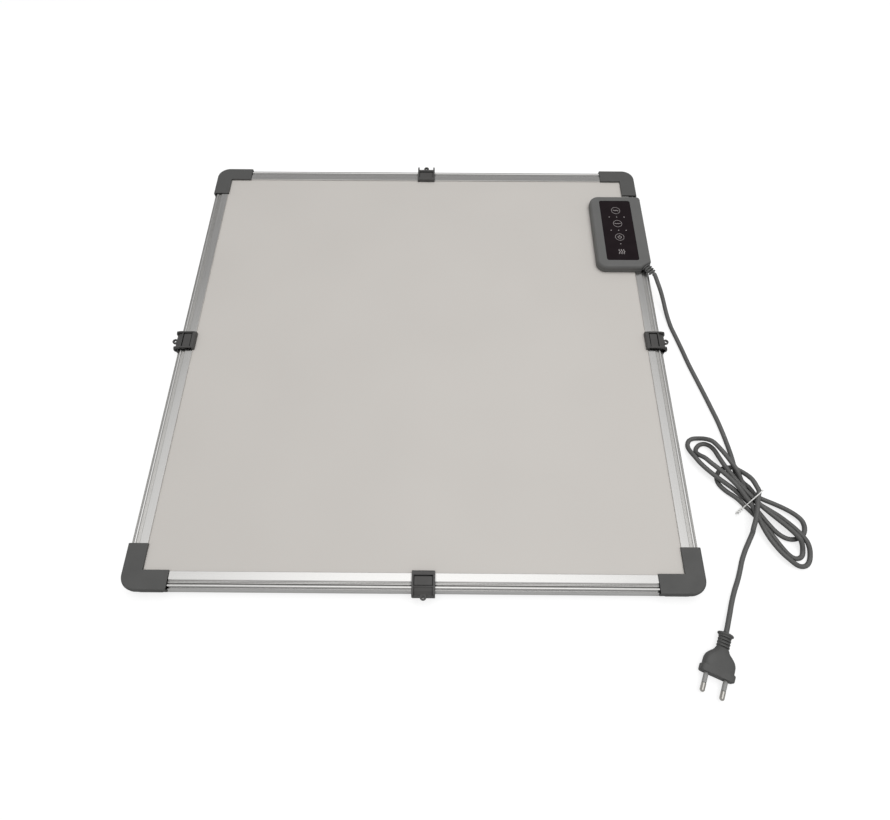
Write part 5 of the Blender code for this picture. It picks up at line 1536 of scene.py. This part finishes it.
# Shares of the body's length without its neck, of the plug's width and thickness; squareness
BODY_SHARES = (
    (0.000, 0.94, 0.92, 0.35), (0.010, 0.975, 0.975, 0.35), (0.035, 0.995, 0.995, 0.35),
    (0.060, 1.00, 1.00, 0.35), (0.220, 1.00, 1.00, 0.35), (0.245, 0.985, 1.00, 0.36),
    (0.260, 0.93, 0.995, 0.42), (0.290, 0.91, 0.99, 0.45), (0.400, 0.915, 0.99, 0.47),
    (0.520, 0.905, 0.99, 0.50), (0.600, 0.87, 0.98, 0.54), (0.680, 0.81, 0.965, 0.60),
    (0.740, 0.73, 0.945, 0.68), (0.800, 0.64, 0.92, 0.77), (0.860, 0.53, 0.88, 0.86),
    (0.920, 0.45, 0.83, 0.94), (1.000, 0.39, 0.77, 1.00),
)

plug_frame = axis_frame(plug_face, plug_out)


def plug_stations():
    """Rings of the plug's body, from its face back to the collar."""
    body = PLUG_LENGTH - NECK_LENGTH
    rings = [
        (-body * at, PLUG_WIDTH * wide, PLUG_THICKNESS * thick, square)
        for at, wide, thick, square in BODY_SHARES
    ]
    pitch = NECK_LENGTH / (NECK_RIBS + 1)
    slope = pitch * NECK_SLOPE_SHARE
    groove = (NECK_SIZE[0] - 2 * NECK_WAIST, NECK_SIZE[1] - 2 * NECK_SLOT)
    for rib in range(NECK_RIBS):
        root = body + rib * pitch
        rings += [
            (-root - slope, *groove, 1), (-root - pitch / 2, *groove, 1),
            (-root - pitch / 2 - slope, *NECK_SIZE, 1), (-root - pitch, *NECK_SIZE, 1),
        ]
    start = PLUG_LENGTH - pitch
    for share, size_share in COLLAR_SHARES:
        rings.append((-start - pitch * share, *[size * size_share for size in COLLAR_SIZE], 1))
    rings.append((-PLUG_LENGTH, *NECK_SIZE, 1))
    return rings


def turned(profile, frame, steps=48):
    """A profile of (place along, radius) spun once round the axis."""
    shape = bmesh.new()
    verts = [shape.verts.new((radius, 0, along)) for along, radius in profile]
    edges = [shape.edges.new(pair) for pair in zip(verts, verts[1:])]
    bmesh.ops.spin(
        shape, geom=verts + edges, angle=2 * math.pi, steps=steps, axis=(0, 0, 1),
        cent=(0, 0, 0), use_merge=True,
    )
    bmesh.ops.remove_doubles(shape, verts=shape.verts, dist=MERGE_DISTANCE)
    bmesh.ops.transform(shape, matrix=frame, verts=shape.verts)
    bmesh.ops.recalc_face_normals(shape, faces=shape.faces)
    return shape


pin_frames = {
    label: plug_frame @ Matrix.Translation((sign * PIN_SPACING / 2, 0, 0))
    for label, sign in (("left", -1), ("right", 1))
}
sockets = [
    turned(
        [(-PIN_SEAT - GAP, 0), (-PIN_SEAT - GAP, PIN_DIAMETER / 2 + GAP),
         (CUT_BEYOND, PIN_DIAMETER / 2 + GAP), (CUT_BEYOND, 0)],
        place,
    )
    for place in pin_frames.values()
]
plug = to_mesh(carve(ringed(plug_stations(), plug_frame, 72), cuts=sockets), "plug")
plug_piece = add_piece("moulded_plug", plug, plug_plastic, "panel", ["plug_body"])

# %% Pins and sleeves
SLEEVE_LENGTH = 0.0100
SLEEVE_RADIUS = 0.00225
SLEEVE_BORE = 0.0017
PIN_CORE = 0.0014
TIP_STEPS = 8

tip = [
    (PIN_LENGTH - PIN_DIAMETER / 2 * (1 - math.sin(a)), PIN_DIAMETER / 2 * math.cos(a))
    for a in [math.pi / 2 * k / TIP_STEPS for k in range(TIP_STEPS + 1)]
]
pin_profile = [
    (-PIN_SEAT, 0), (-PIN_SEAT, PIN_CORE), (SLEEVE_LENGTH + GAP, PIN_CORE),
    (SLEEVE_LENGTH + GAP, PIN_DIAMETER / 2), *tip,
]
sleeve_profile = [
    (-PIN_SEAT, SLEEVE_BORE), (-PIN_SEAT, SLEEVE_RADIUS), (SLEEVE_LENGTH - GAP, SLEEVE_RADIUS),
    (SLEEVE_LENGTH, SLEEVE_RADIUS - GAP), (SLEEVE_LENGTH, SLEEVE_BORE), (-PIN_SEAT, SLEEVE_BORE),
]
for label, place in pin_frames.items():
    for name, profile, finish, slot in (
        ("pin", pin_profile, pin_metal, "pin_metal"),
        ("sleeve", sleeve_profile, sleeve_plastic, "sleeve_plastic"),
    ):
        stands_for = {"pin": f"plug_pin_{label}", "sleeve": f"pin_sleeve_{label}"}[name]
        mesh = to_mesh(turned(profile, place), name)
        add_piece(f"turned_{name}_{label}", mesh, finish, "panel", [stands_for])

# %% [markdown]
# ## Floor and light
#
# The picture is a product shot on white. The floor gives off a plain white to the camera and
# keeps a faint shadow. The light comes from all round above: strong from overhead and weak
# lower down, so that shiny sides turn grey while the flat face stays even.

# %% Floor
FLOOR_HALF = 4
FLOOR_GREY = 0.35
FLOOR_SEEN = 0.72
FLOOR_MIRRORED = 0.17

floor_shape = bmesh.new()
bmesh.ops.create_grid(floor_shape, x_segments=1, y_segments=1, size=FLOOR_HALF)
bmesh.ops.translate(floor_shape, verts=floor_shape.verts, vec=(0, 0, -GAP))
floor_mesh = to_mesh(floor_shape, "studio_floor")
floor = new_object("studio_floor", floor_mesh)

paper = bpy.data.materials.new("white_paper")
paper.use_nodes = True
tree = paper.node_tree
shader = tree.nodes["Principled BSDF"]
shader.inputs["Base Color"].default_value = (FLOOR_GREY, FLOOR_GREY, FLOOR_GREY, 1)
shader.inputs["Roughness"].default_value = 1.0
shader.inputs["Specular IOR Level"].default_value = 0.0
shader.inputs["Emission Color"].default_value = (1, 1, 1, 1)
rays = add_node(tree, "ShaderNodeLightPath").outputs
mirrored = add_node(
    tree, "ShaderNodeMath", settings={"operation": "MULTIPLY"}, values={1: FLOOR_MIRRORED},
    links={0: rays["Is Glossy Ray"]},
).outputs["Value"]
glow = add_node(
    tree, "ShaderNodeMath", settings={"operation": "MULTIPLY_ADD"}, values={1: FLOOR_SEEN},
    links={0: rays["Is Camera Ray"], 2: mirrored},
).outputs["Value"]
tree.links.new(glow, shader.inputs["Emission Strength"])
floor_mesh.materials.append(paper)
print("floor laid")

# %% World and lamp
LAMP_WATTS = 15
LAMP_SIDE = 1.6
LAMP_PLACE = (0.25, 0.0, 1.6)
WORLD_STRENGTH = 1.4
# Sine of the height above the horizon, and the share of full brightness there
SKY_SHARES = ((0.0, 0.30), (0.76, 0.215), (0.80, 0.52), (0.89, 0.58), (0.98, 0.97))

world = bpy.data.worlds.new("studio_world")
world.use_nodes = True
bpy.context.scene.world = world
tree = world.node_tree
background = tree.nodes["Background"]
direction = add_node(tree, "ShaderNodeTexCoord").outputs["Generated"]
rise = add_node(tree, "ShaderNodeSeparateXYZ", links={"Vector": direction}).outputs["Z"]
ramp = add_node(tree, "ShaderNodeValToRGB", links={"Fac": rise})
steps = ramp.color_ramp.elements
while len(steps) < len(SKY_SHARES):
    steps.new(0.5)
for step, (position, share) in zip(steps, SKY_SHARES):
    step.position = position
    step.color = (share, share, share, 1)
tree.links.new(ramp.outputs["Color"], background.inputs["Color"])
background.inputs["Strength"].default_value = WORLD_STRENGTH

lamp = bpy.data.lights.new("soft_box", "AREA")
lamp.shape = "SQUARE"
lamp.size = LAMP_SIDE
lamp.energy = LAMP_WATTS
soft_box = new_object("soft_box", lamp)
soft_box.location = LAMP_PLACE
soft_box.visible_glossy = False
bpy.context.scene.view_settings.view_transform = "Standard"
print("lit by", LAMP_WATTS, "W")
